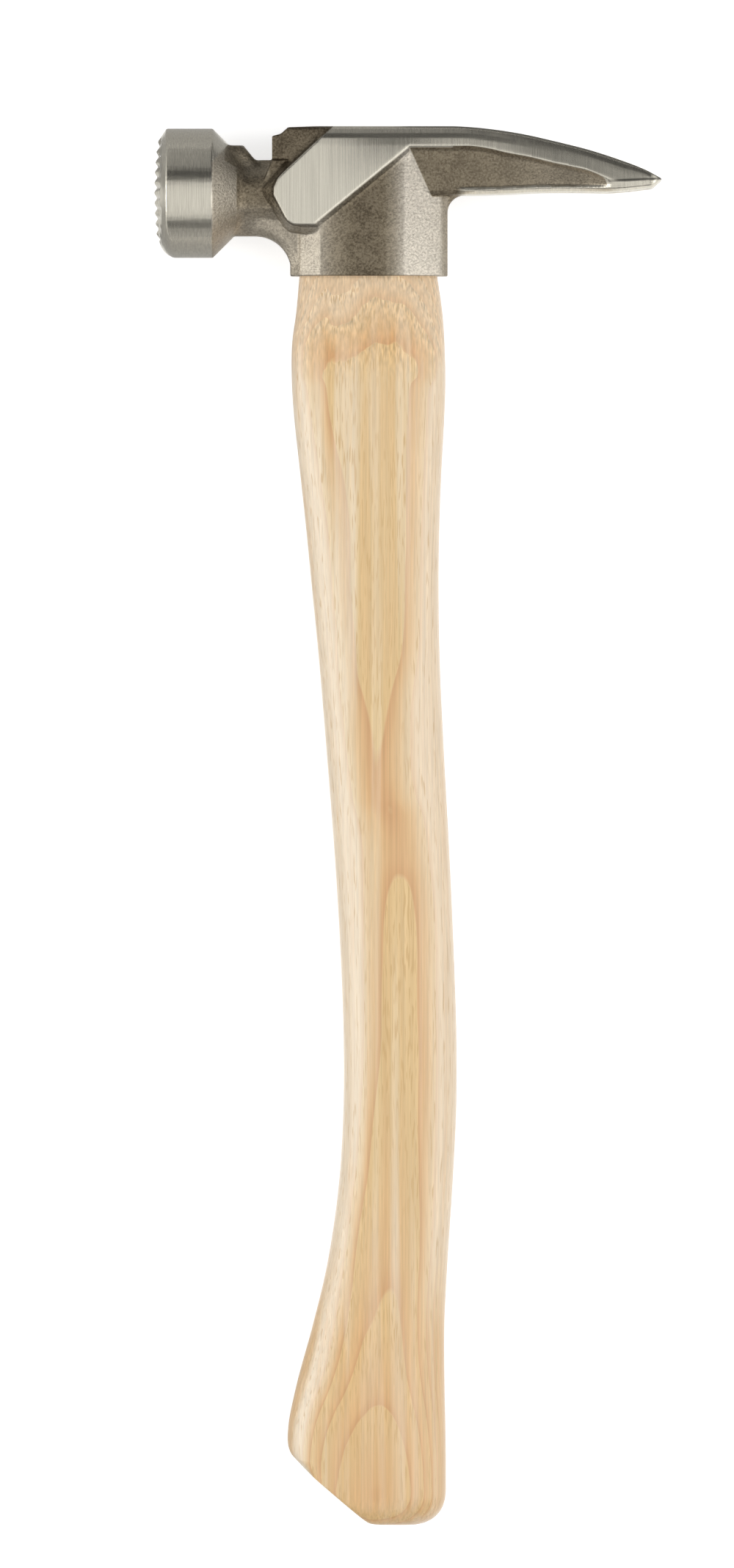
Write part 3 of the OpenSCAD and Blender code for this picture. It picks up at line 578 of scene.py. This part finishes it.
def painted_crease_shade(tree, s, u, w):
    """Painted shade along the foot of the raised panel, and more of it in the crease over the tip's bevel: 0
    where there is none."""
    side = add_node(tree, MATH, (w,), operation="ABSOLUTE")
    foot = within(tree, side, PANEL_FOOT, PANEL_FOOT_SOFT)
    below_top = add_node(tree, RANGE, (u, *PANEL_FOOT_TOP, 1, 0))
    for share in (within(tree, s, PANEL_FOOT_ENDS), below_top):
        foot = add_node(tree, MATH, (foot, share), operation="MULTIPLY")
    off_crease = add_node(tree, MATH, (u, profile(tree, s, CREASE, height=MM)), operation="SUBTRACT")
    off_crease = add_node(tree, MATH, (off_crease,), operation="ABSOLUTE")
    crease = add_node(tree, RANGE, (off_crease, *CREASE_WIDTH, CREASE_SHADE, 0))
    crease_start = add_node(tree, RANGE, (s, *CREASE_START, 0, 1))
    crease = add_node(tree, MATH, (crease, crease_start), operation="MULTIPLY")
    return add_node(tree, MATH, (foot, crease), operation="MAXIMUM")


def forged_and_ground_steel(colours):
    """Drop-forged tool steel, shot-blasted all over: a dull brown-grey skin of fine pits, worn brighter
    where hands and nails wear it, and brightened as painted highlight on the cone, the neck and the collar's
    bevels, with painted shade at the panel's foot and in the crease over the tip. The attribute polish and
    the claw's band mark the faces ground bright on a belt, which leaves fine parallel lines down the head."""
    made, tree = new_material("Forged steel, blasted and ground")
    place, _, s, u, w = own_axes(tree)
    marked = add_node(tree, "ShaderNodeAttribute", output="Fac", attribute_name="polish")
    polish = add_node(tree, MATH, (marked, ground_band(tree, s, u)), operation="MAXIMUM")
    # Brightening: real wear, and in part painted highlight on the cone, the neck and the collar's bevels
    wear_and_highlight = wear_and_highlight_share(tree, s, u)
    # Pits of shot, 0.6 mm across, and patches of scale about 6 mm wide
    pits = grain(tree, place, (0.625, 0.625, 0.625), 3, 0.6)
    patches = grain(tree, place, (6.25, 6.25, 6.25))
    spread = add_node(tree, MATH, (patches, 0.45, pits), operation="MULTIPLY_ADD")
    blasted = add_node(
        tree, RAMP, (spread,), stops=[(0.58, colours.blasted_dark), (0.84, colours.blasted_light)])
    worn = add_node(tree, MIX, {0: wear_and_highlight, 6: colours.wear_and_highlight, 7: colours.bright}, 2, data_type="RGBA")
    high_spots = add_node(tree, RANGE, (pits, *SPREAD, 0.7, 1.22))
    worn = add_node(tree, VECTOR_MATH, {0: worn, "Scale": high_spots}, operation="SCALE")
    blasted = add_node(tree, MIX, {0: wear_and_highlight, 6: blasted, 7: worn}, 2, data_type="RGBA")
    # Belt lines 0.3 mm apart, which is coarser than real ones, so that they show
    belt = grain(tree, place, (0.2857, 22.22, 1.111))
    tone = add_node(tree, RANGE, (belt, *SPREAD, 0.86, 1.06))
    ground = add_node(tree, VECTOR_MATH, {0: colours.ground[:3], "Scale": tone}, operation="SCALE")
    clean = add_node(tree, MIX, {0: polish, 6: blasted, 7: ground}, 2, data_type="RGBA")
    # Painted shade darkens the panel's foot and the crease over the tip, down to a quarter
    darker = add_node(tree, RANGE, (painted_crease_shade(tree, s, u, w), 0, CREASE_SHADE, 1, 0.25))
    dirty = add_node(tree, VECTOR_MATH, {0: clean, "Scale": darker}, operation="SCALE")
    relief = add_node(tree, MIX, {0: polish, 2: pits, 3: belt})
    strength = add_node(tree, RANGE, (polish, 0, 1, 1, 0.1))
    bump = add_node(
        tree, "ShaderNodeBump", {"Strength": strength, "Distance": 0.15 * MM, "Height": relief})
    roughness = add_node(tree, RANGE, (polish, 0, 1, 0.45, 0.27))
    shader = add_node(
        tree, "ShaderNodeBsdfPrincipled",
        {"Base Color": dirty, "Metallic": 1.0, "Roughness": roughness, "Normal": bump})
    add_node(tree, "ShaderNodeOutputMaterial", {"Surface": shader})
    return made


def layer_depth(tree, local, s, w, along):
    """How deep a point lies in the growth layers, counted outwards from the first growth line, and where the
    wood under the head is: w, lifted by a curve along the handle, less the bend times the square of the way
    from the figure's line, plus a slow wander and, under the head, a ripple and a dip. The wander turns every
    15 mm or so across the handle and every 60 mm down it, and the ripple every 10 to 15 mm."""
    aside = add_node(
        tree, MATH, (s, profile(tree, along, FIGURE_LINE, unit=1, height=MM)), operation="SUBTRACT")
    square = add_node(tree, MATH, (aside, aside), operation="MULTIPLY")
    sag = add_node(tree, MATH, (square, profile(tree, along, LAYER_BEND, unit=1)), operation="MULTIPLY")
    lifted = add_node(tree, MATH, (w, profile(tree, along, LAYER_LIFT, unit=1, height=MM)), operation="ADD")
    bent = add_node(tree, MATH, (lifted, sag), operation="SUBTRACT")
    wander = grain(tree, local, (14.286, 62.5, 14.286))
    depth = add_node(tree, MATH, (wander, WANDER, bent), operation="MULTIPLY_ADD")
    ripple = grain(tree, local, (8.333, 14.286, 16.667), 3)
    swayed = add_node(tree, MATH, (ripple, UNDER_HEAD_WAVE, along), operation="MULTIPLY_ADD")
    under_head = add_node(tree, RANGE, (swayed, *UNDER_HEAD, 1, 0))
    shown = add_node(tree, RANGE, (along, *DIP_ENDS, 1, 0))
    dip = add_node(tree, MATH, (profile(tree, s, LAYER_DIP), shown), operation="MULTIPLY")
    centred = add_node(tree, MATH, (ripple, 0.5), operation="SUBTRACT")
    uneven = add_node(tree, MATH, (centred, RIPPLE, dip), operation="MULTIPLY_ADD")
    uneven = add_node(tree, MATH, (uneven, under_head), operation="MULTIPLY")
    depth = add_node(tree, MATH, (uneven, MM, depth), operation="MULTIPLY_ADD")
    return add_node(tree, MATH, (depth, FIRST_LAYER + WANDER / 2), operation="SUBTRACT"), under_head


def butt_share(tree, depth, s, along):
    """Where the butt's deeper layers and rear are warmer instead of pale, from 0 to 0.85."""
    deep = add_node(tree, RANGE, (depth, *BUTT_DEEP, 0, 0.85))
    rear = add_node(tree, RANGE, (s, *BUTT_REAR, 0, 0.8))
    share = add_node(tree, MATH, (deep, rear), operation="MAXIMUM")
    by_butt = add_node(tree, RANGE, (along, *BUTT_REAR_START, 0, 1))
    return add_node(tree, MATH, (share, by_butt), operation="MULTIPLY")


def pale_share(tree, depth, streaks, butt):
    """How far the wood is pale sapwood: in streaks, and in the outer layers except by the butt."""
    outer = add_node(tree, RANGE, (depth, *SAPWOOD, 0, 0.85))
    not_butt = add_node(tree, MATH, (1, butt), operation="SUBTRACT")
    outer = add_node(tree, MATH, (outer, not_butt), operation="MULTIPLY")
    streaked = add_node(tree, RANGE, (streaks, 0.46, 0.7, 0, 0.7))
    return add_node(tree, MATH, (streaked, outer), operation="MAXIMUM")


def warm_share(tree, growth, under_head, streaks, butt, s, along):
    """How far the wood is warmer: the greatest of the streaks, the wood under the head, which is warmest at
    the end of each layer, the butt behind its front edge, and the rear side."""
    ripe = add_node(tree, RANGE, (growth, 0.2, 0.9, 0.5, 0.72))
    ripe = add_node(tree, MATH, (under_head, ripe), operation="MULTIPLY")
    by_butt = add_node(tree, RANGE, (along, *BUTT_START, 0, 0.5))
    off_front = add_node(tree, RANGE, (s, *BUTT_FRONT, 0, 1))
    end = add_node(tree, MATH, (by_butt, off_front), operation="MULTIPLY")
    half_butt = add_node(tree, MATH, (butt, 0.5), operation="MULTIPLY")
    rear = add_node(tree, RANGE, (s, *REAR_SIDE, 0, 0.26))
    warm = add_node(tree, RANGE, (streaks, 0.5, 0.3, 0, 0.5))
    for share in (ripe, end, half_butt, rear):
        warm = add_node(tree, MATH, (warm, share), operation="MAXIMUM")
    return warm


def lacquered_hickory(colours, layer):
    """Hickory, flat-sawn, under satin lacquer. Growth layers lie across the hammer's thickness, so they show
    as arches where the handle swells and as long stripes elsewhere. Each layer goes from pale, porous early
    wood to tan late wood and ends in a thin brown line."""
    made, tree = new_material("Hickory, satin lacquer")
    _, local, s, u, w = own_axes(tree)
    along = add_node(tree, RANGE, (u, 0, END_DOWN, 0, 1))
    depth, under_head = layer_depth(tree, local, s, w, along)
    growth = add_node(tree, MATH, (depth, layer), operation="DIVIDE")
    growth = add_node(tree, MATH, (growth,), operation="FRACT")
    wood = add_node(
        tree, RAMP, (growth,),
        stops=[(0.02, colours.earlywood), (1, colours.midwood), (0.35, colours.midwood),
               (0.8, colours.latewood), (0.97, colours.line)])
    # Streaks of sapwood and of warmer wood, some 4 mm wide and 250 mm long
    streaks = grain(tree, local, (4.167, 250, 4.167))
    butt = butt_share(tree, depth, s, along)
    pale = pale_share(tree, depth, streaks, butt)
    wood = add_node(tree, MIX, {0: pale, 6: wood, 7: colours.sapwood}, 2, data_type="RGBA")
    warm = warm_share(tree, growth, under_head, streaks, butt, s, along)
    wood = add_node(
        tree, MIX, {0: warm, 6: wood, 7: colours.heartwood}, 2, data_type="RGBA", blend_type="MULTIPLY")
    # Fibres 0.6 mm wide, long down the handle
    fibres = grain(tree, local, (0.625, 55.56, 0.625), 3, 0.6)
    tone = add_node(tree, RANGE, (fibres, *SPREAD, 0.93, 1.15))
    wood = add_node(tree, VECTOR_MATH, {0: wood, "Scale": tone}, operation="SCALE")
    # Under the head the pores are cut across and show as dashes 3 mm long, most of all in the early wood
    dashes = add_node(tree, MATH, (grain(tree, local, (0.625, 3.03, 0.625), 1), 0.5), operation="SUBTRACT")
    strength = add_node(tree, RANGE, (growth, 0.05, 0.7, 1.3, 0.4))
    strength = add_node(tree, MATH, (under_head, strength), operation="MULTIPLY")
    dashes = add_node(tree, MATH, (dashes, strength, 1), operation="MULTIPLY_ADD")
    wood = add_node(tree, VECTOR_MATH, {0: wood, "Scale": dashes}, operation="SCALE")
    # Pores 0.4 mm wide, which is coarser than real ones, so that they show; most are in the early wood
    pores = grain(tree, local, (0.3571, 5.882, 0.3571), 0)
    pores = add_node(tree, RANGE, (pores, 0.58, 0.7, 0, 1))
    early = add_node(tree, RANGE, (growth, 0.1, 0.6, 0.6, 0.12))
    pores = add_node(tree, MATH, (pores, early), operation="MULTIPLY")
    wood = add_node(tree, MIX, {0: pores, 6: wood, 7: colours.pore}, 2, data_type="RGBA")
    bump = add_node(tree, "ShaderNodeBump", {"Strength": 0.2, "Distance": 0.08 * MM, "Height": fibres})
    shader = add_node(
        tree, "ShaderNodeBsdfPrincipled",
        {"Base Color": wood, "Roughness": 0.5, "Coat Weight": 0.6, "Coat Roughness": 0.28, "Normal": bump})
    add_node(tree, "ShaderNodeOutputMaterial", {"Surface": shader})
    return made


def plain_finish(name, shade, metallic, roughness, grit, contrast):
    """A plain finish with a fine mottle: the mottle's size in millimetres, and how far it darkens."""
    made, tree = new_material(name)
    place = add_node(tree, "ShaderNodeTexCoord", output="Object")
    mottle = grain(tree, place, (grit, grit, grit), 3)
    tone = add_node(tree, RANGE, (mottle, *SPREAD, 1 - contrast, 1))
    mottled = add_node(tree, VECTOR_MATH, {0: shade[:3], "Scale": tone}, operation="SCALE")
    shader = add_node(
        tree, "ShaderNodeBsdfPrincipled",
        {"Base Color": mottled, "Metallic": metallic, "Roughness": roughness})
    add_node(tree, "ShaderNodeOutputMaterial", {"Surface": shader})
    return made


def seen(tree):
    """1 for rays from the camera, in a reflection or through glass, and 0 for light on the object."""
    camera, glossy, through = (
        add_node(tree, "ShaderNodeLightPath", output=ray)
        for ray in ("Is Camera Ray", "Is Glossy Ray", "Is Transmission Ray"))
    shown = add_node(tree, MATH, (camera, glossy), operation="MAXIMUM")
    return add_node(tree, MATH, (shown, through), operation="MAXIMUM")


def sky(angle):
    """Y and Z of a place that far from straight above, in degrees, towards the top of the hammer."""
    return SKY_DISTANCE * math.sin(math.radians(angle)), SKY_DISTANCE * math.cos(math.radians(angle))


def level(near, far, height):
    """Y and Z of the two ends of a level card, in millimetres from the head's top and over the floor."""
    return (TOP_Y + near * MM, height * MM), (TOP_Y + far * MM, height * MM)


class HAMMER_OT_head(Operator):
    """Makes the forged head, with worn edges and its ground faces marked"""

    bl_idname = "hammer.head"
    bl_label = "Head"

    def execute(self, context):
        sizes = context.scene.hammer_sizes
        mesh = worn_head(sizes.steel_cell, sizes.steel_wear)
        land_end = (HEAD_LOW.x + POLL_LAND, TOP_Y, MID_Z)
        corner = (EYE_X + PANEL_CORNER, TOP_Y, MID_Z)
        scored(mesh, [(land_end, (1, 0, 0)), (corner, (1, -PANEL_SLOPE, 0))])
        polish = mesh.attributes.new("polish", "FLOAT", "POINT")
        polish.data.foreach_set("value", polish_of(mesh).astype(np.float32))
        head = finished("forged_head", mesh, "head", sharp_angle=60)
        head.data.materials.append(forged_and_ground_steel(context.scene.hammer_colours))
        return {"FINISHED"}


class HAMMER_OT_handle(Operator):
    """Makes the hickory handle: a loft through ovals, with a sawn heel, joined to the wedged tenon"""

    bl_idname = "hammer.handle"
    bl_label = "Handle"

    def execute(self, context):
        sizes = context.scene.hammer_sizes
        shaft = self.shaft(sizes)
        start = shaft[:1] + np.array([0, LOFT_IN_EYE, 0])
        rings = self.sawn(np.concatenate([start, shaft, self.toe(sizes)]), sizes)
        mesh = bpy.data.meshes.new("hickory_handle")
        mesh.from_pydata(rings.reshape(-1, 3).tolist(), [], skin(rings))
        self.join_tenon(mesh, start[0, 0, 1] - TENON_OVERLAP)
        handle = finished("hickory_handle", mesh, "handle", sharp_angle=35)
        handle.data.materials.append(lacquered_hickory(context.scene.hammer_colours, sizes.layer))
        return {"FINISHED"}

    def shaft(self, sizes):
        """Rings from the collar to the toe: ovals whose sizes are mixed from four by the rows' shares."""
        rows = between(HANDLE_ROWS, SHAFT_STEPS)
        kinds = rows[:, 2:6]
        depths = kinds @ [sizes.eye_depth, sizes.shoulder_depth, sizes.grip_depth, sizes.butt_depth]
        thicks = kinds @ [
            sizes.eye_thickness, sizes.shoulder_thickness, sizes.grip_thickness, sizes.butt_thickness]
        heights = COLLAR_DOWN + rows[:, 0] * (END_DOWN - COLLAR_DOWN)
        return ovals(rows[:, 1] * sizes.sway, heights, depths, thicks, rows[:, 6])

    def toe(self, sizes):
        """Rings of the rounded toe: the last oval, drawn in from the rear and from both sides."""
        rows = between(TOE_ROWS, TOE_STEPS)
        inset = rows[:, 1] * sizes.toe_radius
        sway, square = HANDLE_ROWS[-1, [1, 6]]
        return ovals(
            sway * sizes.sway - inset / 2, END_DOWN + rows[:, 0] * sizes.toe_radius, sizes.butt_depth - inset,
            sizes.butt_thickness - 2 * inset * TOE_SIDE_SHARE, np.full(len(rows), square))

    def sawn(self, rings, sizes):
        """The rings with all that lies past the heel's plane laid on it. A point's distance d past the plane
        is bent to (d - sqrt(d^2 + r^2)) / 2, which keeps points well inside and rounds the edge by about r,
        and r is larger at the heel's front corner."""
        lean = sizes.heel_angle
        outward = np.array([-math.sin(lean), -math.cos(lean), 0])
        foot = HANDLE_ROWS[-1, 1] * sizes.sway - sizes.butt_depth / 2 + sizes.heel_run
        past = (rings - np.array([EYE_X + foot, TOP_Y + END_DOWN, MID_Z])) @ outward
        corner = smooth_step(*HEEL_CORNER, (rings[..., 0] - EYE_X) / sizes.butt_depth)
        wear = sizes.edge_wear * (1 + HEEL_CORNER_WEAR * corner)
        bent = (past - np.sqrt(past**2 + wear**2)) / 2
        near = smooth_step(*HEEL_NEAR, past / sizes.edge_wear)
        return rings + ((bent - past) * near)[..., None] * outward

    def join_tenon(self, mesh, low):
        """Joins to a mesh the CAD tenon above a height, with its kerf and slots, closed at the cut."""
        tenon = welded_copy("handle", "tenon")
        sound = bmesh.new()
        sound.from_mesh(tenon)
        everything = [*sound.verts, *sound.edges, *sound.faces]
        bmesh.ops.bisect_plane(
            sound, geom=everything, plane_co=(0, low, 0), plane_no=(0, -1, 0), clear_outer=True)
        bmesh.ops.holes_fill(sound, edges=[edge for edge in sound.edges if edge.is_boundary])
        sound.to_mesh(tenon)
        sound.clear()
        sound.from_mesh(mesh)
        sound.from_mesh(tenon)
        sound.to_mesh(mesh)
        sound.free()


class HAMMER_OT_wedges(Operator):
    """Finishes the wood wedge, the two steel wedges and the nail magnet"""

    bl_idname = "hammer.wedges"
    bl_label = "Wedges and magnet"

    def execute(self, context):
        colours = context.scene.hammer_colours
        # Hardwood sawn across its grain is dull and brown, stamped mild steel dark and mottled, and nickel
        # plate smooth and bright
        wood = plain_finish("Wedge hardwood, sawn", colours.wedge_wood, 0, 0.6, 0.6, 0.25)
        steel = plain_finish("Mild steel, stamped", colours.wedge_steel, 1, 0.5, 0.8, 0.3)
        nickel = plain_finish("Nickel plate", colours.magnet, 1, 0.25, 1.5, 0.08)
        for name, finish in (
                ("wood_wedge", wood), ("steel_wedge_front", steel), ("steel_wedge_rear", steel),
                ("nail_magnet", nickel)):
            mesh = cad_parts[name].data
            mesh.materials.clear()
            mesh.materials.append(finish)
        return {"FINISHED"}


class HAMMER_OT_studio(Operator):
    """Sets up the paper floor, the soft lights and the camera of the photograph"""

    bl_idname = "hammer.studio"
    bl_label = "Studio"

    def execute(self, context):
        self.floor(context.scene.hammer_colours.floor)
        self.surroundings()
        # Softboxes: place, the size of each side, power, and whether reflections show them
        for name, place, size, power, mirrored in (
                ("Overhead softbox", (-0.25, 0.1, 1.6), (1.5, 1.1), 4, False),
                ("Left softbox", (-1.6, 0, 0.75), (1.1, 2), 15, True),
                ("Right softbox", (1.3, 0, 1.2), (1.3, 2), 15, True)):
            self.softbox(name, Vector(place), size, power, mirrored)
        self.cards()
        self.camera()
        context.scene.view_settings.view_transform = "Standard"
        return {"FINISHED"}

    def sheet(self, name, corners, material):
        """A flat sheet with four corners."""
        mesh = bpy.data.meshes.new(name)
        mesh.from_pydata(corners, [], [(0, 1, 2, 3)])
        mesh.materials.append(material)
        made = bpy.data.objects.new(name, mesh)
        bpy.context.scene.collection.objects.link(made)
        return made

    def floor(self, shade):
        """White paper. Diffuse light and its shadow show, and the glow that brings it up to white is seen by
        the camera and in reflections only."""
        made, tree = new_material("White paper")
        paper = add_node(tree, "ShaderNodeBsdfDiffuse", {"Color": shade})
        strength = add_node(tree, MATH, (seen(tree), PAPER_GLOW), operation="MULTIPLY")
        glow = add_node(tree, "ShaderNodeEmission", {"Strength": strength})
        both = add_node(tree, "ShaderNodeAddShader", (paper, glow))
        add_node(tree, "ShaderNodeOutputMaterial", {"Surface": both})
        far = PAPER_REACH
        self.sheet("floor", [(-far, -far, 0), (far, -far, 0), (far, far, 0), (-far, far, 0)], made)

    def surroundings(self):
        """White to the camera and in reflections, and a plain soft light otherwise."""
        world = bpy.data.worlds.new("Studio")
        world.use_nodes = True
        bpy.context.scene.world = world
        tree = world.node_tree
        tree.nodes.clear()
        strength = add_node(tree, RANGE, (seen(tree), 0, 1, SOFT_LIGHT, 1))
        white = add_node(tree, "ShaderNodeBackground", {"Color": (1, 1, 1, 1), "Strength": strength})
        add_node(tree, "ShaderNodeOutputWorld", {"Surface": white})

    def softbox(self, name, place, size, power, mirrored):
        """A lamp with a lit face that looks at the middle of the hammer."""
        lamp = bpy.data.lights.new(name, "AREA")
        lamp.shape = "RECTANGLE"
        lamp.size, lamp.size_y = size
        lamp.energy = power
        made = bpy.data.objects.new(name, lamp)
        made.location = place
        made.rotation_euler = (-place).to_track_quat("-Z", "Y").to_euler()
        made.visible_glossy = mirrored
        bpy.context.scene.collection.objects.link(made)

    def cards(self):
        """Cards that only reflections see: two ends across the hammer as Y and Z, the reach along X, and
        brightness. They darken the sky towards the top and the butt, the floor round the head, and the sky
        over the claw and the face."""
        wide = (-CARD_END, CARD_END)
        eye, face, tip = EYE_X, HEAD_LOW.x, HEAD_HIGH.x
        for name, ends, reach, brightness in (
                ("card_far_black", (sky(27), sky(47)), wide, 0),
                ("card_far_grey", (sky(47), sky(88)), (-CARD_END, SKY_SPLIT), 0.45),
                ("card_far_dim", (sky(47), sky(88)), (SKY_SPLIT, CARD_END), 0.1),
                ("card_near_black", (sky(-60), sky(-42)), wide, 0.06),
                ("card_near_grey", (sky(-88), sky(-60)), wide, 0.5),
                ("card_far_floor", level(4, 797, 1), (-CARD_END, eye + 10 * MM), 0.5),
                ("card_claw_floor", level(4, 797, 1), (eye + 10 * MM, CARD_END), 0.18),
                ("card_near_floor", level(-803, -42, 1), (-CARD_END, eye - 24 * MM), 0.5),
                ("card_face_floor", level(-90, 4, 1), (-CARD_END, face - 6 * MM), 0.38),
                ("card_face_glow", level(-34, -13, 1.5), (-CARD_END, face - 6 * MM), 0.9),
                ("card_root", level(-8, 60, 100), (eye - 4 * MM, eye + 18 * MM), 0.1),
                ("card_claw", level(-24, 60, 120), (eye + 30 * MM, eye + 66 * MM), 0.26),
                ("card_tip", level(-24, 60, 120), (eye + 66 * MM, tip + 16.35 * MM), 0.42),
                ("card_tip_end", level(-60, 10, 110), (tip + 21.35 * MM, tip + 166.35 * MM), 0.45),
                ("card_face", level(-60, 15, 100), (face - 65 * MM, face - 14 * MM), 0.75)):
            self.card(name, ends, reach, brightness)

    def card(self, name, ends, reach, brightness):
        """A flat card that shows in reflections only."""
        made, tree = new_material("Card")
        glow = add_node(tree, "ShaderNodeEmission", {"Strength": brightness})
        add_node(tree, "ShaderNodeOutputMaterial", {"Surface": glow})
        (near, far), (left, right) = ends, reach
        card = self.sheet(name, [(left, *near), (right, *near), (right, *far), (left, *far)], made)
        card.visible_camera = False
        card.visible_diffuse = False
        card.visible_shadow = False
        card.visible_transmission = False

    def camera(self):
        """Straight above the hammer, far off, framed as the photograph is."""
        scale = -END_DOWN / (PHOTO_END_Y - PHOTO_TOP_Y)
        middle_x = EYE_X + (PHOTO_W / 2 - PHOTO_EYE_X) * scale
        middle_y = TOP_Y - (PHOTO_H / 2 - PHOTO_TOP_Y) * scale
        lens = bpy.data.cameras.new("Photograph")
        lens.sensor_width = FILM
        lens.lens = FILM * CAMERA_DISTANCE / (PHOTO_H * scale)
        lens.clip_end = 100
        camera = bpy.data.objects.new("Photograph", lens)
        camera.location = (middle_x, middle_y, MID_Z + CAMERA_DISTANCE)
        bpy.context.scene.collection.objects.link(camera)
        bpy.context.scene.camera = camera


class HAMMER_PT_panel(Panel):
    """Lists the hammer's pieces and settings"""

    bl_label = "Framing hammer"
    bl_idname = "HAMMER_PT_panel"
    bl_space_type = "VIEW_3D"
    bl_region_type = "UI"
    bl_category = "Hammer"

    def draw(self, context):
        for step in STEPS:
            self.layout.operator(step.bl_idname)
        for settings in (context.scene.hammer_sizes, context.scene.hammer_colours):
            box = self.layout.box()
            for name in settings.__annotations__:
                box.prop(settings, name)


STEPS = (HAMMER_OT_head, HAMMER_OT_handle, HAMMER_OT_wedges, HAMMER_OT_studio)
CLASSES = (HammerSizes, HammerColours, *STEPS, HAMMER_PT_panel)


def register():
    for made in CLASSES:
        bpy.utils.register_class(made)
    bpy.types.Scene.hammer_sizes = PointerProperty(type=HammerSizes)
    bpy.types.Scene.hammer_colours = PointerProperty(type=HammerColours)


def unregister():
    del bpy.types.Scene.hammer_colours
    del bpy.types.Scene.hammer_sizes
    for made in reversed(CLASSES):
        bpy.utils.unregister_class(made)


def main():
    register()
    bpy.ops.hammer.head()
    bpy.ops.hammer.handle()
    bpy.ops.hammer.wedges()
    bpy.ops.hammer.studio()


if __name__ == "__main__":
    main()
